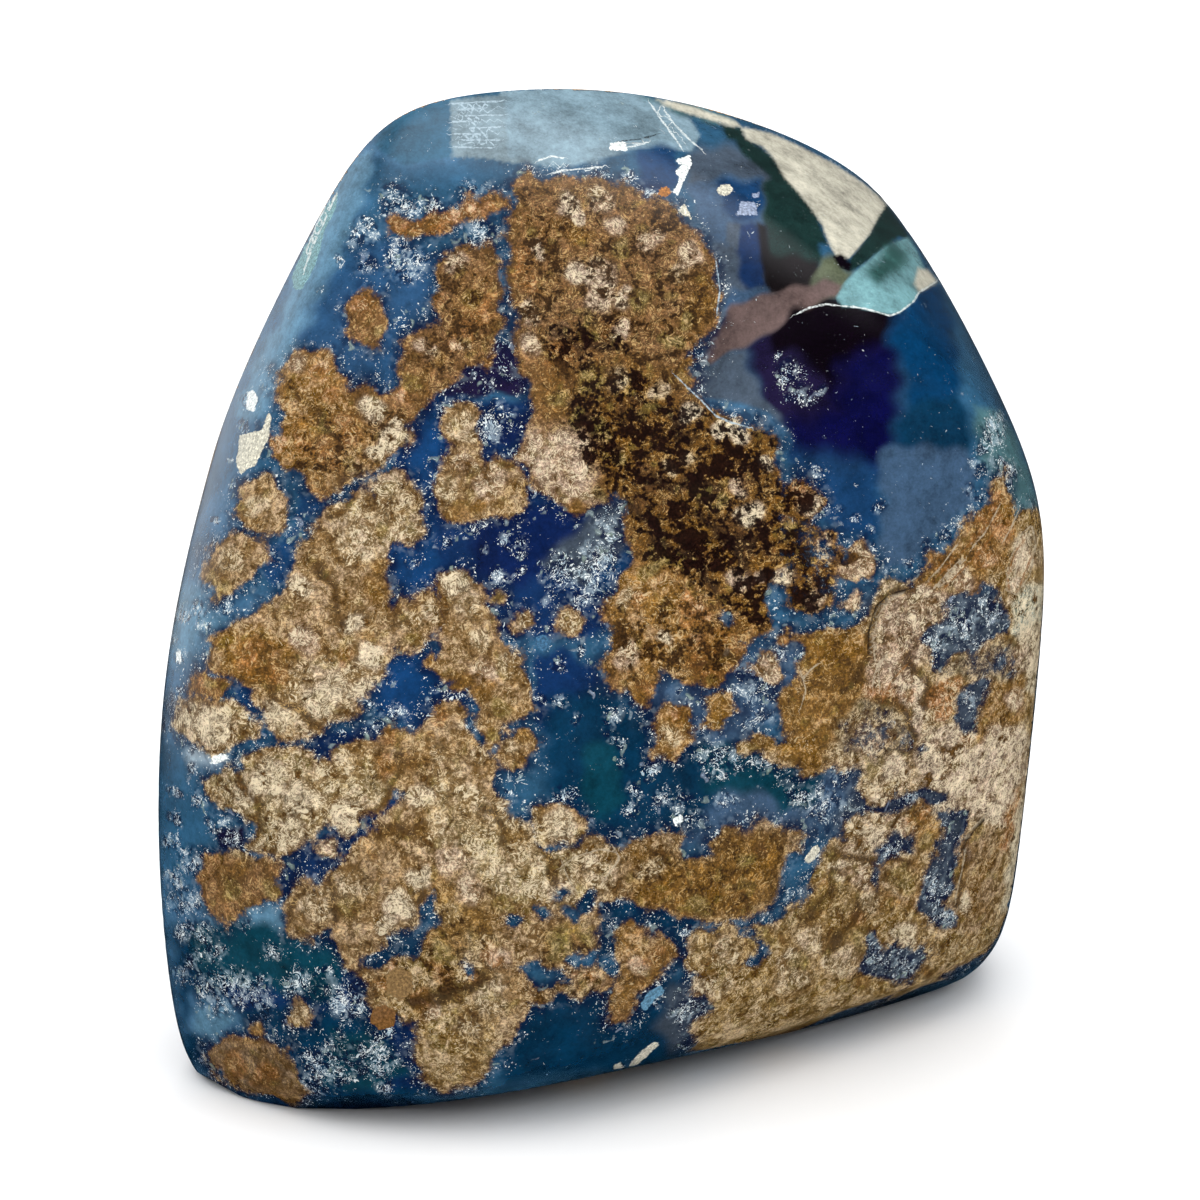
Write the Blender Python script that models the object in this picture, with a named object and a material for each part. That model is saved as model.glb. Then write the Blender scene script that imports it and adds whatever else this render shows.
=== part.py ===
"""Amethyst geode with a cut base. A ground and polished stone stands on a flat sawn base. Its broad polished
side faces -Y. The far side is sawn flat and holds a hollow lined with amethyst crystals. Metres, +Z up, origin
under the middle of the stone at the height of the base."""

import math

import bmesh
import bpy
import numpy as np
from mathutils import Vector, geometry

MM = 0.001

# The ground stone: its planes are measured from this inner point, distances in millimetres.
HEART = Vector((-6.6, 0.4, 68.0))
# Softly rounded sides, as azimuth (0 faces -Y, 90 faces +X), elevation and distance.
SOFT_SIDES = {
    "front": (-4, 2, 35.3),
    "front_left": (-32, 2, 40.3),
    "front_right": (13, -8, 42.0),
    "front_middle": (-1, 9, 35.0),
    "front_high": (-20, 25, 24.8),
    "brow": (-10, 38, 40.0),
    "crown": (-11, 71, 66.6),
    "left": (-74, 8, 58.7),
    "left_bevel": (-95, 28, 57.0),
    "left_top": (-67, 48, 76.0),
    "right": (86, 3, 75.0),
    "right_bevel": (58, 36, 69.4),
    "right_top": (45, 61, 66.6),
    "low_left": (-69, -13, 72.5),
    "low_front": (4, -78, 70.0),
    "low_bow": (3, -50, 69.8),
    "low_right": (50, -7, 70.0),
    "back_left": (-131, -2, 56.6),
    "back_right": (135, -1, 71.5),
}
SOFTNESS = 12.0
# Facets left by the grinding wheel, with crisper edges.
WHEEL_FACETS = {
    "top_facet": (-5, 57, 53.6),
    "left_strip": (-84, 29, 56.2),
    "corner_facet": (-57, -8, 57.6),
}
CRISPNESS = 44.0
# Chips along the sawn base, as azimuth, elevation and depth of stone lost.
BASE_CHIPS = [
    (-70, -48, 0.6),
    (-44, -38, 0.5),
    (-24, -52, 0.9),
    (-4, -44, 0.5),
    (14, -52, 1.2),
    (24, -36, 0.8),
    (52, -44, 0.5),
    (86, -52, 0.8),
    (-110, -44, 0.9),
]
# Sawn far face: it leans back toward the polished side.
SAWN_LEAN = 5.0
SAWN_DISTANCE = 28.0
SKIN_DETAIL = 5

# The hollow: where its mouth is centred on the sawn face (x, height along the face) and how deep it goes.
MOUTH_CENTRE = (-4.0, 62.0)
HOLLOW_DEPTH = 28.0
# Radius of the mouth every 22.5 degrees, from +X towards up.
MOUTH_RADII = [42.0, 40.5, 39.0, 42.5, 47.0, 44.0, 40.0, 41.0, 43.0, 41.5, 38.5, 38.0, 40.5, 41.5, 39.5, 40.0]
HOLLOW_ROUND = 52
HOLLOW_RINGS = [0.0, 0.10, 0.22, 0.35, 0.49, 0.64, 0.80, 0.92]
HOLLOW_WALLS = 0.72
DEEPEST_SHIFT = (2.0, -5.0)

# The crystals on the hollow's wall.
FIT_GAP = 0.35
RIM_DROP = 0.5
QUARTZ_LAYER = 4.0
CRYSTAL_SPACING = 4.9
CRYSTAL_HEIGHT = (2.6, 5.8)
SEED = 29


def direction(azimuth, elevation):
    a = math.radians(azimuth)
    e = math.radians(elevation)
    return np.array((math.sin(a) * math.cos(e), -math.cos(a) * math.cos(e), math.sin(e)))


SAWN_NORMAL = Vector(direction(180, SAWN_LEAN))
SAWN_POINT = HEART + SAWN_NORMAL * SAWN_DISTANCE


def skin_radius(rays):
    """Distance from HEART to the ground skin along each unit ray, before any sawing."""
    total = np.zeros(len(rays))
    for azimuth, elevation, distance in SOFT_SIDES.values():
        facing = np.clip(rays @ direction(azimuth, elevation), 1e-9, None)
        total += (facing / distance) ** SOFTNESS
    nearness = total ** (CRISPNESS / SOFTNESS)
    for azimuth, elevation, distance in WHEEL_FACETS.values():
        facing = np.clip(rays @ direction(azimuth, elevation), 1e-9, None)
        nearness += (facing / distance) ** CRISPNESS
    return nearness ** (-1.0 / CRISPNESS)


def saw(shape, point, normal):
    """Cuts away what lies beyond the plane and closes the cut with one flat face."""
    everything = shape.verts[:] + shape.edges[:] + shape.faces[:]
    cut = bmesh.ops.bisect_plane(
        shape, geom=everything, dist=1e-4, plane_co=point, plane_no=normal, clear_outer=True
    )
    edges = [item for item in cut["geom_cut"] if isinstance(item, bmesh.types.BMEdge)]
    if edges:
        bmesh.ops.contextual_create(shape, geom=edges)
    shape.normal_update()


def new_material(name, colour, roughness, **settings):
    material = bpy.data.materials.new(name)
    material.use_nodes = True
    shader = material.node_tree.nodes["Principled BSDF"]
    shader.inputs["Base Color"].default_value = (*colour, 1.0)
    shader.inputs["Roughness"].default_value = roughness
    for socket, value in settings.items():
        shader.inputs[socket.replace("_", " ")].default_value = value
    return material


def new_object(name, shape, material, smooth_angle=None):
    """Makes a node from a mesh drawn in millimetres."""
    bmesh.ops.scale(shape, vec=(MM, MM, MM), verts=shape.verts)
    mesh = bpy.data.meshes.new(name)
    shape.to_mesh(mesh)
    shape.free()
    mesh.materials.append(material)
    if smooth_angle is not None:
        mesh.shade_smooth()
        mesh.set_sharp_from_angle(angle=math.radians(smooth_angle))
    made = bpy.data.objects.new(name, mesh)
    bpy.context.scene.collection.objects.link(made)
    return made


FACE_UP = Vector((0.0, -math.sin(math.radians(SAWN_LEAN)), math.cos(math.radians(SAWN_LEAN))))
MOUTH_ORIGIN = SAWN_POINT + Vector((MOUTH_CENTRE[0] - SAWN_POINT.x, 0, 0))
MOUTH_ORIGIN = MOUTH_ORIGIN + FACE_UP * ((MOUTH_CENTRE[1] - MOUTH_ORIGIN.z) / FACE_UP.z)


def mouth_radius(angle):
    """Smooth closed curve through MOUTH_RADII."""
    place = (angle / (2 * math.pi) * len(MOUTH_RADII)) % len(MOUTH_RADII)
    here = int(place)
    part = place - here
    before, first, second, after = (MOUTH_RADII[(here + step) % len(MOUTH_RADII)] for step in (-1, 0, 1, 2))
    bend = 2 * first - 2 * second + (second - before) / 2 + (after - first) / 2
    sag = 3 * (second - first) - (second - before) - (after - first) / 2
    return first + part * ((second - before) / 2 + part * (sag + part * bend))


def hollow_point(angle, inward, inset=0.0):
    """A point of the hollow's wall: inward is 0 at the mouth and 1 at the deepest point, inset is toward the air."""
    turn = inward * math.pi / 2
    radius = (mouth_radius(angle) - inset) * math.cos(turn) ** HOLLOW_WALLS
    depth = (HOLLOW_DEPTH - inset) * math.sin(turn) ** 0.9
    share = math.sin(turn)
    across = radius * math.cos(angle) + DEEPEST_SHIFT[0] * share
    upward = radius * math.sin(angle) + DEEPEST_SHIFT[1] * share
    return MOUTH_ORIGIN + Vector((across, 0, 0)) + FACE_UP * upward - SAWN_NORMAL * depth


def wall_normal(angle, inward, inset):
    """Unit vector from the wall toward the air."""
    step = 1e-3
    inward = min(max(inward, step), 1 - step)
    along = hollow_point(angle + step, inward, inset) - hollow_point(angle - step, inward, inset)
    deeper = hollow_point(angle, inward + step, inset) - hollow_point(angle, inward - step, inset)
    return deeper.cross(along).normalized()


def hollow_angle(place):
    return 2 * math.pi * place / HOLLOW_ROUND


def build_cutter():
    """The shape of the air and crystals in the hollow, reaching out past the sawn face."""
    shape = bmesh.new()
    rings = []
    outside = [
        shape.verts.new(hollow_point(hollow_angle(i), 0.0) + SAWN_NORMAL * 6.0) for i in range(HOLLOW_ROUND)
    ]
    rings.append(outside)
    for inward in HOLLOW_RINGS:
        rings.append([shape.verts.new(hollow_point(hollow_angle(i), inward)) for i in range(HOLLOW_ROUND)])
    deepest = shape.verts.new(hollow_point(0.0, 1.0))
    for ring, following in zip(rings, rings[1:]):
        for i in range(HOLLOW_ROUND):
            j = (i + 1) % HOLLOW_ROUND
            shape.faces.new((ring[i], ring[j], following[j], following[i]))
    for i in range(HOLLOW_ROUND):
        shape.faces.new((rings[-1][i], rings[-1][(i + 1) % HOLLOW_ROUND], deepest))
    shape.faces.new(rings[0])
    bmesh.ops.recalc_face_normals(shape, faces=shape.faces[:])
    return shape


def build_stone():
    shape = bmesh.new()
    bmesh.ops.create_icosphere(shape, subdivisions=SKIN_DETAIL, radius=1.0)
    rays = np.array([vertex.co.normalized() for vertex in shape.verts])
    for vertex, ray, radius in zip(shape.verts, rays, skin_radius(rays)):
        vertex.co = HEART + Vector(ray) * radius
    saw(shape, SAWN_POINT, SAWN_NORMAL)
    saw(shape, Vector((0, 0, 0)), Vector((0, 0, -1)))
    for azimuth, elevation, depth in BASE_CHIPS:
        facing = Vector(direction(azimuth, elevation))
        outermost = max(shape.verts, key=lambda vertex: vertex.co.dot(facing)).co
        saw(shape, outermost - facing * depth, facing)
    bmesh.ops.recalc_face_normals(shape, faces=shape.faces[:])
    material = new_material("polished agate", (0.16, 0.17, 0.19), 0.16, Coat_Weight=0.5, Coat_Roughness=0.05)
    stone = new_object("agate_stone", shape, material, smooth_angle=24)
    cutter = new_object("hollow_cutter", build_cutter(), material)
    cutter.hide_render = True
    cutter.display_type = "WIRE"
    hollow = stone.modifiers.new("hollow", "BOOLEAN")
    hollow.operation = "DIFFERENCE"
    hollow.solver = "EXACT"
    hollow.object = cutter
    return stone


def scatter_crystals(rng):
    """Places on the quartz layer, as (angle, inward), no two nearer than CRYSTAL_SPACING."""
    kept = []
    places = []
    for _ in range(9000):
        angle = rng.uniform(0, 2 * math.pi)
        inward = 1.0 - math.sqrt(rng.uniform(0.0, 1.0)) * 0.955
        point = hollow_point(angle, inward, QUARTZ_LAYER)
        if all((point - other).length > CRYSTAL_SPACING for other in kept):
            kept.append(point)
            places.append((angle, inward))
    return places


def build_crystals():
    rng = np.random.default_rng(SEED)
    places = scatter_crystals(rng)
    sites = [Vector(((1 - inward) * math.cos(angle), (1 - inward) * math.sin(angle))) for angle, inward in places]
    inner = len(sites)
    sites += [Vector((math.cos(hollow_angle(i)), math.sin(hollow_angle(i)))) * 1.02 for i in range(HOLLOW_ROUND)]
    triangles = geometry.delaunay_2d_cdt(sites, [], [], 0, 1e-6)[2]

    shape = bmesh.new()

    def floor_point(flat):
        """Vertex of the quartz layer between crystals, for a point of the unit disc."""
        reach = min(flat.length, 0.999)
        angle = math.atan2(flat.y, flat.x)
        return hollow_point(angle, max(1.0 - reach, 0.03), QUARTZ_LAYER)

    corner = []
    around = [[] for _ in sites]
    for index, triangle in enumerate(triangles):
        middle = sum((sites[i] for i in triangle), Vector((0, 0))) / 3
        corner.append((middle, shape.verts.new(floor_point(middle))))
        for i in triangle:
            around[i].append(index)
    rim_drop = SAWN_NORMAL * RIM_DROP
    rim = []
    for i in range(HOLLOW_ROUND):
        angle = (hollow_angle(i) + hollow_angle(i + 1)) / 2
        rim.append(shape.verts.new(hollow_point(angle, 0.0, QUARTZ_LAYER) - rim_drop))
    heights = rng.uniform(*CRYSTAL_HEIGHT, len(sites))
    leans = rng.normal(0, 0.12, (len(sites), 3))
    for site, members in enumerate(around):
        centre = sites[site]
        ordered = sorted(
            members,
            key=lambda k: (
                math.atan2(corner[k][0].y - centre.y, corner[k][0].x - centre.x)
                - math.atan2(-centre.y, -centre.x)
                + 3 * math.pi
            )
            % (2 * math.pi),
        )
        loop = [corner[k][1] for k in ordered]
        angle = math.atan2(centre.y, centre.x)
        if site >= inner:
            place = site - inner
            loop = [rim[place - 1]] + loop[::-1] + [rim[place]]
            tip = sum((vertex.co for vertex in loop), Vector()) / len(loop)
            tip = tip + wall_normal(angle, 0.05, QUARTZ_LAYER) * 0.5
        else:
            inward = 1.0 - centre.length
            lean = Vector(leans[site])
            outward = (wall_normal(angle, inward, QUARTZ_LAYER) + SAWN_NORMAL * 0.25 + lean).normalized()
            height = heights[site] * min(1.0, 0.45 + 2.2 * inward)
            tip = sum((vertex.co for vertex in loop), Vector()) / len(loop) + outward * height
        peak = shape.verts.new(tip)
        count = len(loop)
        last = count if site < inner else count - 1
        for k in range(last):
            shape.faces.new((loop[k], loop[(k + 1) % count], peak))
        if site >= inner:
            shape.faces.new((loop[-1], loop[0], peak))

    outer = []
    for inward in HOLLOW_RINGS:
        ring = []
        for i in range(HOLLOW_ROUND):
            point = hollow_point(hollow_angle(i), inward, FIT_GAP)
            if inward == 0.0:
                point = point - rim_drop
            ring.append(shape.verts.new(point))
        outer.append(ring)
    deepest = shape.verts.new(hollow_point(0.0, 1.0, FIT_GAP))
    for ring, following in zip(outer, outer[1:]):
        for i in range(HOLLOW_ROUND):
            j = (i + 1) % HOLLOW_ROUND
            shape.faces.new((ring[i], ring[j], following[j], following[i]))
    for i in range(HOLLOW_ROUND):
        shape.faces.new((outer[-1][i], outer[-1][(i + 1) % HOLLOW_ROUND], deepest))
    for i in range(HOLLOW_ROUND):
        j = (i + 1) % HOLLOW_ROUND
        shape.faces.new((outer[0][i], outer[0][j], rim[i]))
        shape.faces.new((outer[0][j], rim[i], rim[j]))
    bmesh.ops.recalc_face_normals(shape, faces=shape.faces[:])
    material = new_material("amethyst", (0.30, 0.14, 0.50), 0.08, Transmission_Weight=0.6, IOR=1.55)
    return new_object("amethyst_crystals", shape, material)


for old in list(bpy.data.objects):
    bpy.data.objects.remove(old, do_unlink=True)
build_stone()
build_crystals()
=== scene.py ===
"""Amethyst geode with a cut base: a polished blue-grey agate full of brown moss spherules, standing on its sawn
base. Its far face is sawn flat and opens on a hollow lined with amethyst crystals. Metres, in the CAD's frame."""

import math

import bmesh
import bpy
import numpy as np
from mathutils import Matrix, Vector, geometry


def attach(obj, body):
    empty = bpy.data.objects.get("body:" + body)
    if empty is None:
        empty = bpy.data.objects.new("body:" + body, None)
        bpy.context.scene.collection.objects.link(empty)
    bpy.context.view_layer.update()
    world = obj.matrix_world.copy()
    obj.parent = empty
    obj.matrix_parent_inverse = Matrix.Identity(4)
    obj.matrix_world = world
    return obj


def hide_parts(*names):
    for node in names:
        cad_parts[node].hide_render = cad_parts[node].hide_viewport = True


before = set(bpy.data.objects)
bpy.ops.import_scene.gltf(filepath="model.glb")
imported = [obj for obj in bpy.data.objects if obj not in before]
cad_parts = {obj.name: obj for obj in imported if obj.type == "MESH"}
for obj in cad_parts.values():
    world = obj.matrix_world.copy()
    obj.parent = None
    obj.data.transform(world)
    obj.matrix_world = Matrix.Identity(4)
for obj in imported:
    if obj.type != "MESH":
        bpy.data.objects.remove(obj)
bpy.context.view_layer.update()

# ---------------------------------------------------------------- camera, as the photograph was taken
CAMERA_AZIMUTH = -22.0
CAMERA_ELEVATION = 17.0
CAMERA_DISTANCE = 0.49
CAMERA_TARGET = (-0.0056, -0.0076, 0.0725)
LENS = 100.0
SENSOR = 36.0
PHOTO_SIDE = 1200.0


def direction(azimuth, elevation):
    a = math.radians(azimuth)
    e = math.radians(elevation)
    return np.array((math.sin(a) * math.cos(e), -math.cos(a) * math.cos(e), math.sin(e)))


TO_CAMERA = direction(CAMERA_AZIMUTH, CAMERA_ELEVATION)
EYE = np.array(CAMERA_TARGET) + TO_CAMERA * CAMERA_DISTANCE
FORWARD = -TO_CAMERA
RIGHT = np.cross(FORWARD, (0, 0, 1))
RIGHT = RIGHT / np.linalg.norm(RIGHT)
UP = np.cross(RIGHT, FORWARD)
FOCAL = LENS / SENSOR * PHOTO_SIDE


def photo_pixels(points):
    """Where points in metres fall in the 1200 x 1200 photograph."""
    q = points - EYE
    depth = q @ FORWARD
    return np.stack(
        [PHOTO_SIDE / 2 + FOCAL * (q @ RIGHT) / depth, PHOTO_SIDE / 2 - FOCAL * (q @ UP) / depth], axis=1
    )


# ---------------------------------------------------------------- the stone's shape, as in the CAD, in millimetres
MM = 0.001
HEART = Vector((-6.6, 0.4, 68.0))
SOFT_SIDES = {
    "front": (-4, 2, 35.3),
    "front_left": (-32, 2, 40.3),
    "front_right": (13, -8, 42.0),
    "front_middle": (-1, 9, 35.0),
    "front_high": (-20, 25, 24.8),
    "brow": (-10, 38, 40.0),
    "crown": (-11, 71, 66.6),
    "left": (-74, 8, 58.7),
    "left_bevel": (-95, 28, 57.0),
    "left_top": (-67, 48, 76.0),
    "right": (86, 3, 75.0),
    "right_bevel": (58, 36, 69.4),
    "right_top": (45, 61, 66.6),
    "low_left": (-69, -13, 72.5),
    "low_front": (4, -78, 70.0),
    "low_bow": (3, -50, 69.8),
    "low_right": (50, -7, 70.0),
    "back_left": (-131, -2, 56.6),
    "back_right": (135, -1, 71.5),
}
SOFTNESS = 12.0
WHEEL_FACETS = {
    "top_facet": (-5, 57, 53.6),
    "left_strip": (-84, 29, 56.2),
    "corner_facet": (-57, -8, 57.6),
}
CRISPNESS = 44.0
BASE_CHIPS = [
    (-70, -48, 0.6),
    (-44, -38, 0.5),
    (-24, -52, 0.9),
    (-4, -44, 0.5),
    (14, -52, 1.2),
    (24, -36, 0.8),
    (52, -44, 0.5),
    (86, -52, 0.8),
    (-110, -44, 0.9),
]
SAWN_LEAN = 5.0
SAWN_DISTANCE = 28.0
MOUTH_CENTRE = (-4.0, 62.0)
HOLLOW_DEPTH = 28.0
MOUTH_RADII = [42.0, 40.5, 39.0, 42.5, 47.0, 44.0, 40.0, 41.0, 43.0, 41.5, 38.5, 38.0, 40.5, 41.5, 39.5, 40.0]
HOLLOW_WALLS = 0.72
DEEPEST_SHIFT = (2.0, -5.0)
FIT_GAP = 0.35
RIM_DROP = 0.5
QUARTZ_LAYER = 4.0
MOUTH_STEPS = 156
WALL_RINGS = 26

SAWN_NORMAL = Vector(direction(180, SAWN_LEAN))
SAWN_POINT = HEART + SAWN_NORMAL * SAWN_DISTANCE
FACE_UP = Vector((0.0, -math.sin(math.radians(SAWN_LEAN)), math.cos(math.radians(SAWN_LEAN))))
MOUTH_ORIGIN = SAWN_POINT + Vector((MOUTH_CENTRE[0] - SAWN_POINT.x, 0, 0))
MOUTH_ORIGIN = MOUTH_ORIGIN + FACE_UP * ((MOUTH_CENTRE[1] - MOUTH_ORIGIN.z) / FACE_UP.z)


def skin_radius(rays):
    """Distance from HEART to the ground skin along each unit ray, before any sawing."""
    total = np.zeros(len(rays))
    for azimuth, elevation, distance in SOFT_SIDES.values():
        facing = np.clip(rays @ direction(azimuth, elevation), 1e-9, None)
        total += (facing / distance) ** SOFTNESS
    nearness = total ** (CRISPNESS / SOFTNESS)
    for azimuth, elevation, distance in WHEEL_FACETS.values():
        facing = np.clip(rays @ direction(azimuth, elevation), 1e-9, None)
        nearness += (facing / distance) ** CRISPNESS
    return nearness ** (-1.0 / CRISPNESS)


def saw(shape, point, normal):
    """Cuts away what lies beyond the plane and closes the cut with one flat face."""
    everything = shape.verts[:] + shape.edges[:] + shape.faces[:]
    cut = bmesh.ops.bisect_plane(
        shape, geom=everything, dist=1e-4, plane_co=point, plane_no=normal, clear_outer=True
    )
    edges = [item for item in cut["geom_cut"] if isinstance(item, bmesh.types.BMEdge)]
    made = []
    if edges:
        made = bmesh.ops.contextual_create(shape, geom=edges)["faces"]
    shape.normal_update()
    return made


def mouth_radius(angle):
    """Smooth closed curve through MOUTH_RADII."""
    place = (angle / (2 * math.pi) * len(MOUTH_RADII)) % len(MOUTH_RADII)
    here = int(place)
    part = place - here
    before, first, second, after = (MOUTH_RADII[(here + step) % len(MOUTH_RADII)] for step in (-1, 0, 1, 2))
    bend = 2 * first - 2 * second + (second - before) / 2 + (after - first) / 2
    sag = 3 * (second - first) - (second - before) - (after - first) / 2
    return first + part * ((second - before) / 2 + part * (sag + part * bend))


def hollow_point(angle, inward, inset=0.0):
    """A point of the hollow's wall: inward is 0 at the mouth and 1 at the deepest point, inset is toward the air."""
    turn = inward * math.pi / 2
    radius = (mouth_radius(angle) - inset) * math.cos(turn) ** HOLLOW_WALLS
    depth = (HOLLOW_DEPTH - inset) * math.sin(turn) ** 0.9
    share = math.sin(turn)
    across = radius * math.cos(angle) + DEEPEST_SHIFT[0] * share
    upward = radius * math.sin(angle) + DEEPEST_SHIFT[1] * share
    return MOUTH_ORIGIN + Vector((across, 0, 0)) + FACE_UP * upward - SAWN_NORMAL * depth


def wall_normal(angle, inward, inset):
    """Unit vector from the wall toward the air."""
    step = 1e-3
    inward = min(max(inward, step), 1 - step)
    along = hollow_point(angle + step, inward, inset) - hollow_point(angle - step, inward, inset)
    deeper = hollow_point(angle, inward + step, inset) - hollow_point(angle, inward - step, inset)
    return deeper.cross(along).normalized()


def full_turn(place, count):
    return 2 * math.pi * place / count


# ---------------------------------------------------------------- the polished skin's mesh
SKIN_DETAIL = 6
# Longest edge kept where the camera looks, in photograph pixels, and in the detailed upper right corner.
FINE_EDGE = 5.1
FINEST_EDGE = 3.5
FINEST_AREA = ((672, 935), (92, 425))
UNDULATION = 0.10


def undulate(rays):
    """Slow unevenness left by hand polishing, always inward, in millimetres."""
    waves = np.zeros(len(rays))
    for number, (azimuth, elevation, rate) in enumerate(
        [(20, 30, 9.0), (-60, 10, 12.0), (110, -20, 8.0), (-10, 70, 14.0), (70, 50, 17.0)]
    ):
        waves += np.sin(rays @ direction(azimuth, elevation) * rate + number * 1.9)
    return UNDULATION * (waves / 5.0 - 1.0) * 0.5


def split_long_edges(shape, limit, finest):
    edges = []
    shape.verts.ensure_lookup_table()
    points = np.array([vertex.co[:] for vertex in shape.verts])
    pixels = photo_pixels(points * MM)
    normals = points - np.array(HEART)
    shape.verts.index_update()
    for edge in shape.edges:
        a, b = edge.verts[0].index, edge.verts[1].index
        middle = (pixels[a] + pixels[b]) / 2
        length = math.hypot(*(pixels[a] - pixels[b]))
        if length < min(limit, finest):
            continue
        facing = sum(face.normal.dot(Vector(TO_CAMERA)) for face in edge.link_faces) / len(edge.link_faces)
        if facing < 0.02:
            continue
        (left, right), (top, bottom) = FINEST_AREA
        detailed = left < middle[0] < right and top < middle[1] < bottom
        if length > (finest if detailed else limit):
            edges.append(edge)
    before = set(shape.verts)
    bmesh.ops.subdivide_edges(shape, edges=edges, cuts=1, use_grid_fill=True, use_single_edge=True)
    fresh = [vertex for vertex in shape.verts if vertex not in before]
    project(fresh)
    shape.normal_update()
    return len(edges)


def project(vertices):
    rays = np.array([(vertex.co - HEART).normalized()[:] for vertex in vertices])
    radii = skin_radius(rays) + undulate(rays)
    for vertex, ray, radius in zip(vertices, rays, radii):
        vertex.co = HEART + Vector(ray) * radius


def build_skin():
    """The ground stone with its flat sawn face, before the hollow is opened: returns its bmesh in millimetres."""
    shape = bmesh.new()
    bmesh.ops.create_icosphere(shape, subdivisions=SKIN_DETAIL, radius=1.0)
    for vertex in shape.verts:
        vertex.co = HEART + vertex.co.normalized()
    project(shape.verts[:])
    shape.normal_update()
    for limit, finest in ((9.0, 9.0), (6.5, 5.5), (FINE_EDGE, 3.8), (FINE_EDGE, FINEST_EDGE)):
        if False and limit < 6:
            break
        split_long_edges(shape, limit, finest)
    saw(shape, SAWN_POINT, SAWN_NORMAL)
    saw(shape, Vector((0, 0, 0)), Vector((0, 0, -1)))
    for azimuth, elevation, depth in BASE_CHIPS:
        facing = Vector(direction(azimuth, elevation))
        outermost = max(shape.verts, key=lambda vertex: vertex.co.dot(facing)).co
        saw(shape, outermost - facing * depth, facing)
    bmesh.ops.recalc_face_normals(shape, faces=shape.faces[:])
    return shape


def open_hollow(shape):
    """Replaces the sawn face by one with the mouth in it, and lines the hollow with its wall."""
    flat = max(shape.faces, key=lambda face: face.calc_area() * (face.normal.dot(SAWN_NORMAL) > 0.99))
    loop = list(flat.verts)
    bmesh.ops.delete(shape, geom=[flat], context="FACES_ONLY")
    mouth = [shape.verts.new(hollow_point(full_turn(i, MOUTH_STEPS), 0.0)) for i in range(MOUTH_STEPS)]

    def on_face(point):
        offset = point - MOUTH_ORIGIN
        return Vector((offset.x, offset.dot(FACE_UP)))

    outer = [on_face(vertex.co) for vertex in loop]
    inner = [on_face(vertex.co) for vertex in mouth]
    count = len(outer)
    spread = [Vector((x, y)) for x in np.arange(-90, 90, 2.6) for y in np.arange(-90, 90, 2.6)]
    outer_line = np.array([p[:] for p in outer])
    inner_line = np.array([p[:] for p in inner])
    spread_line = np.array([p[:] for p in spread])
    clear = (polygon_field(spread_line, outer_line) > 1.2) & (polygon_field(spread_line, inner_line) < -1.0)
    spread = [p for p, keep in zip(spread, clear) if keep]
    sites = outer + inner + spread
    edges = [(i, (i + 1) % count) for i in range(count)]
    edges += [(count + i, count + (i + 1) % MOUTH_STEPS) for i in range(MOUTH_STEPS)]
    points, _, triangles = geometry.delaunay_2d_cdt(sites, edges, [], 0, 1e-7)[:3]
    vertices = loop + mouth + [
        shape.verts.new(MOUTH_ORIGIN + Vector((p.x, 0, 0)) + FACE_UP * p.y) for p in spread
    ]
    centres = np.array([((points[a] + points[b] + points[c]) / 3)[:] for a, b, c in triangles])
    wanted = (polygon_field(centres, outer_line) > 0) & (polygon_field(centres, inner_line) < 0)
    sawn = []
    for triangle, keep in zip(triangles, wanted):
        if keep:
            sawn.append(shape.faces.new([vertices[i] for i in triangle]))
    rings = [mouth]
    for k in range(1, WALL_RINGS):
        inward = k / WALL_RINGS
        rings.append([shape.verts.new(hollow_point(full_turn(i, MOUTH_STEPS), inward)) for i in range(MOUTH_STEPS)])
    deepest = shape.verts.new(hollow_point(0.0, 1.0))
    wall = []
    for ring, following in zip(rings, rings[1:]):
        for i in range(MOUTH_STEPS):
            j = (i + 1) % MOUTH_STEPS
            wall.append(shape.faces.new((ring[i], ring[j], following[j], following[i])))
    for i in range(MOUTH_STEPS):
        wall.append(shape.faces.new((rings[-1][i], rings[-1][(i + 1) % MOUTH_STEPS], deepest)))
    for face in sawn + wall:
        face.material_index = 1
    bmesh.ops.recalc_face_normals(shape, faces=shape.faces[:])


# ---------------------------------------------------------------- markings, given in photograph pixels
def hexed(text):
    """Linear colour from a six-digit sRGB colour."""
    values = [int(text[i : i + 2], 16) / 255 for i in (0, 2, 4)]
    return np.array([v / 12.92 if v <= 0.04045 else ((v + 0.055) / 1.055) ** 2.4 for v in values])


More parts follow.
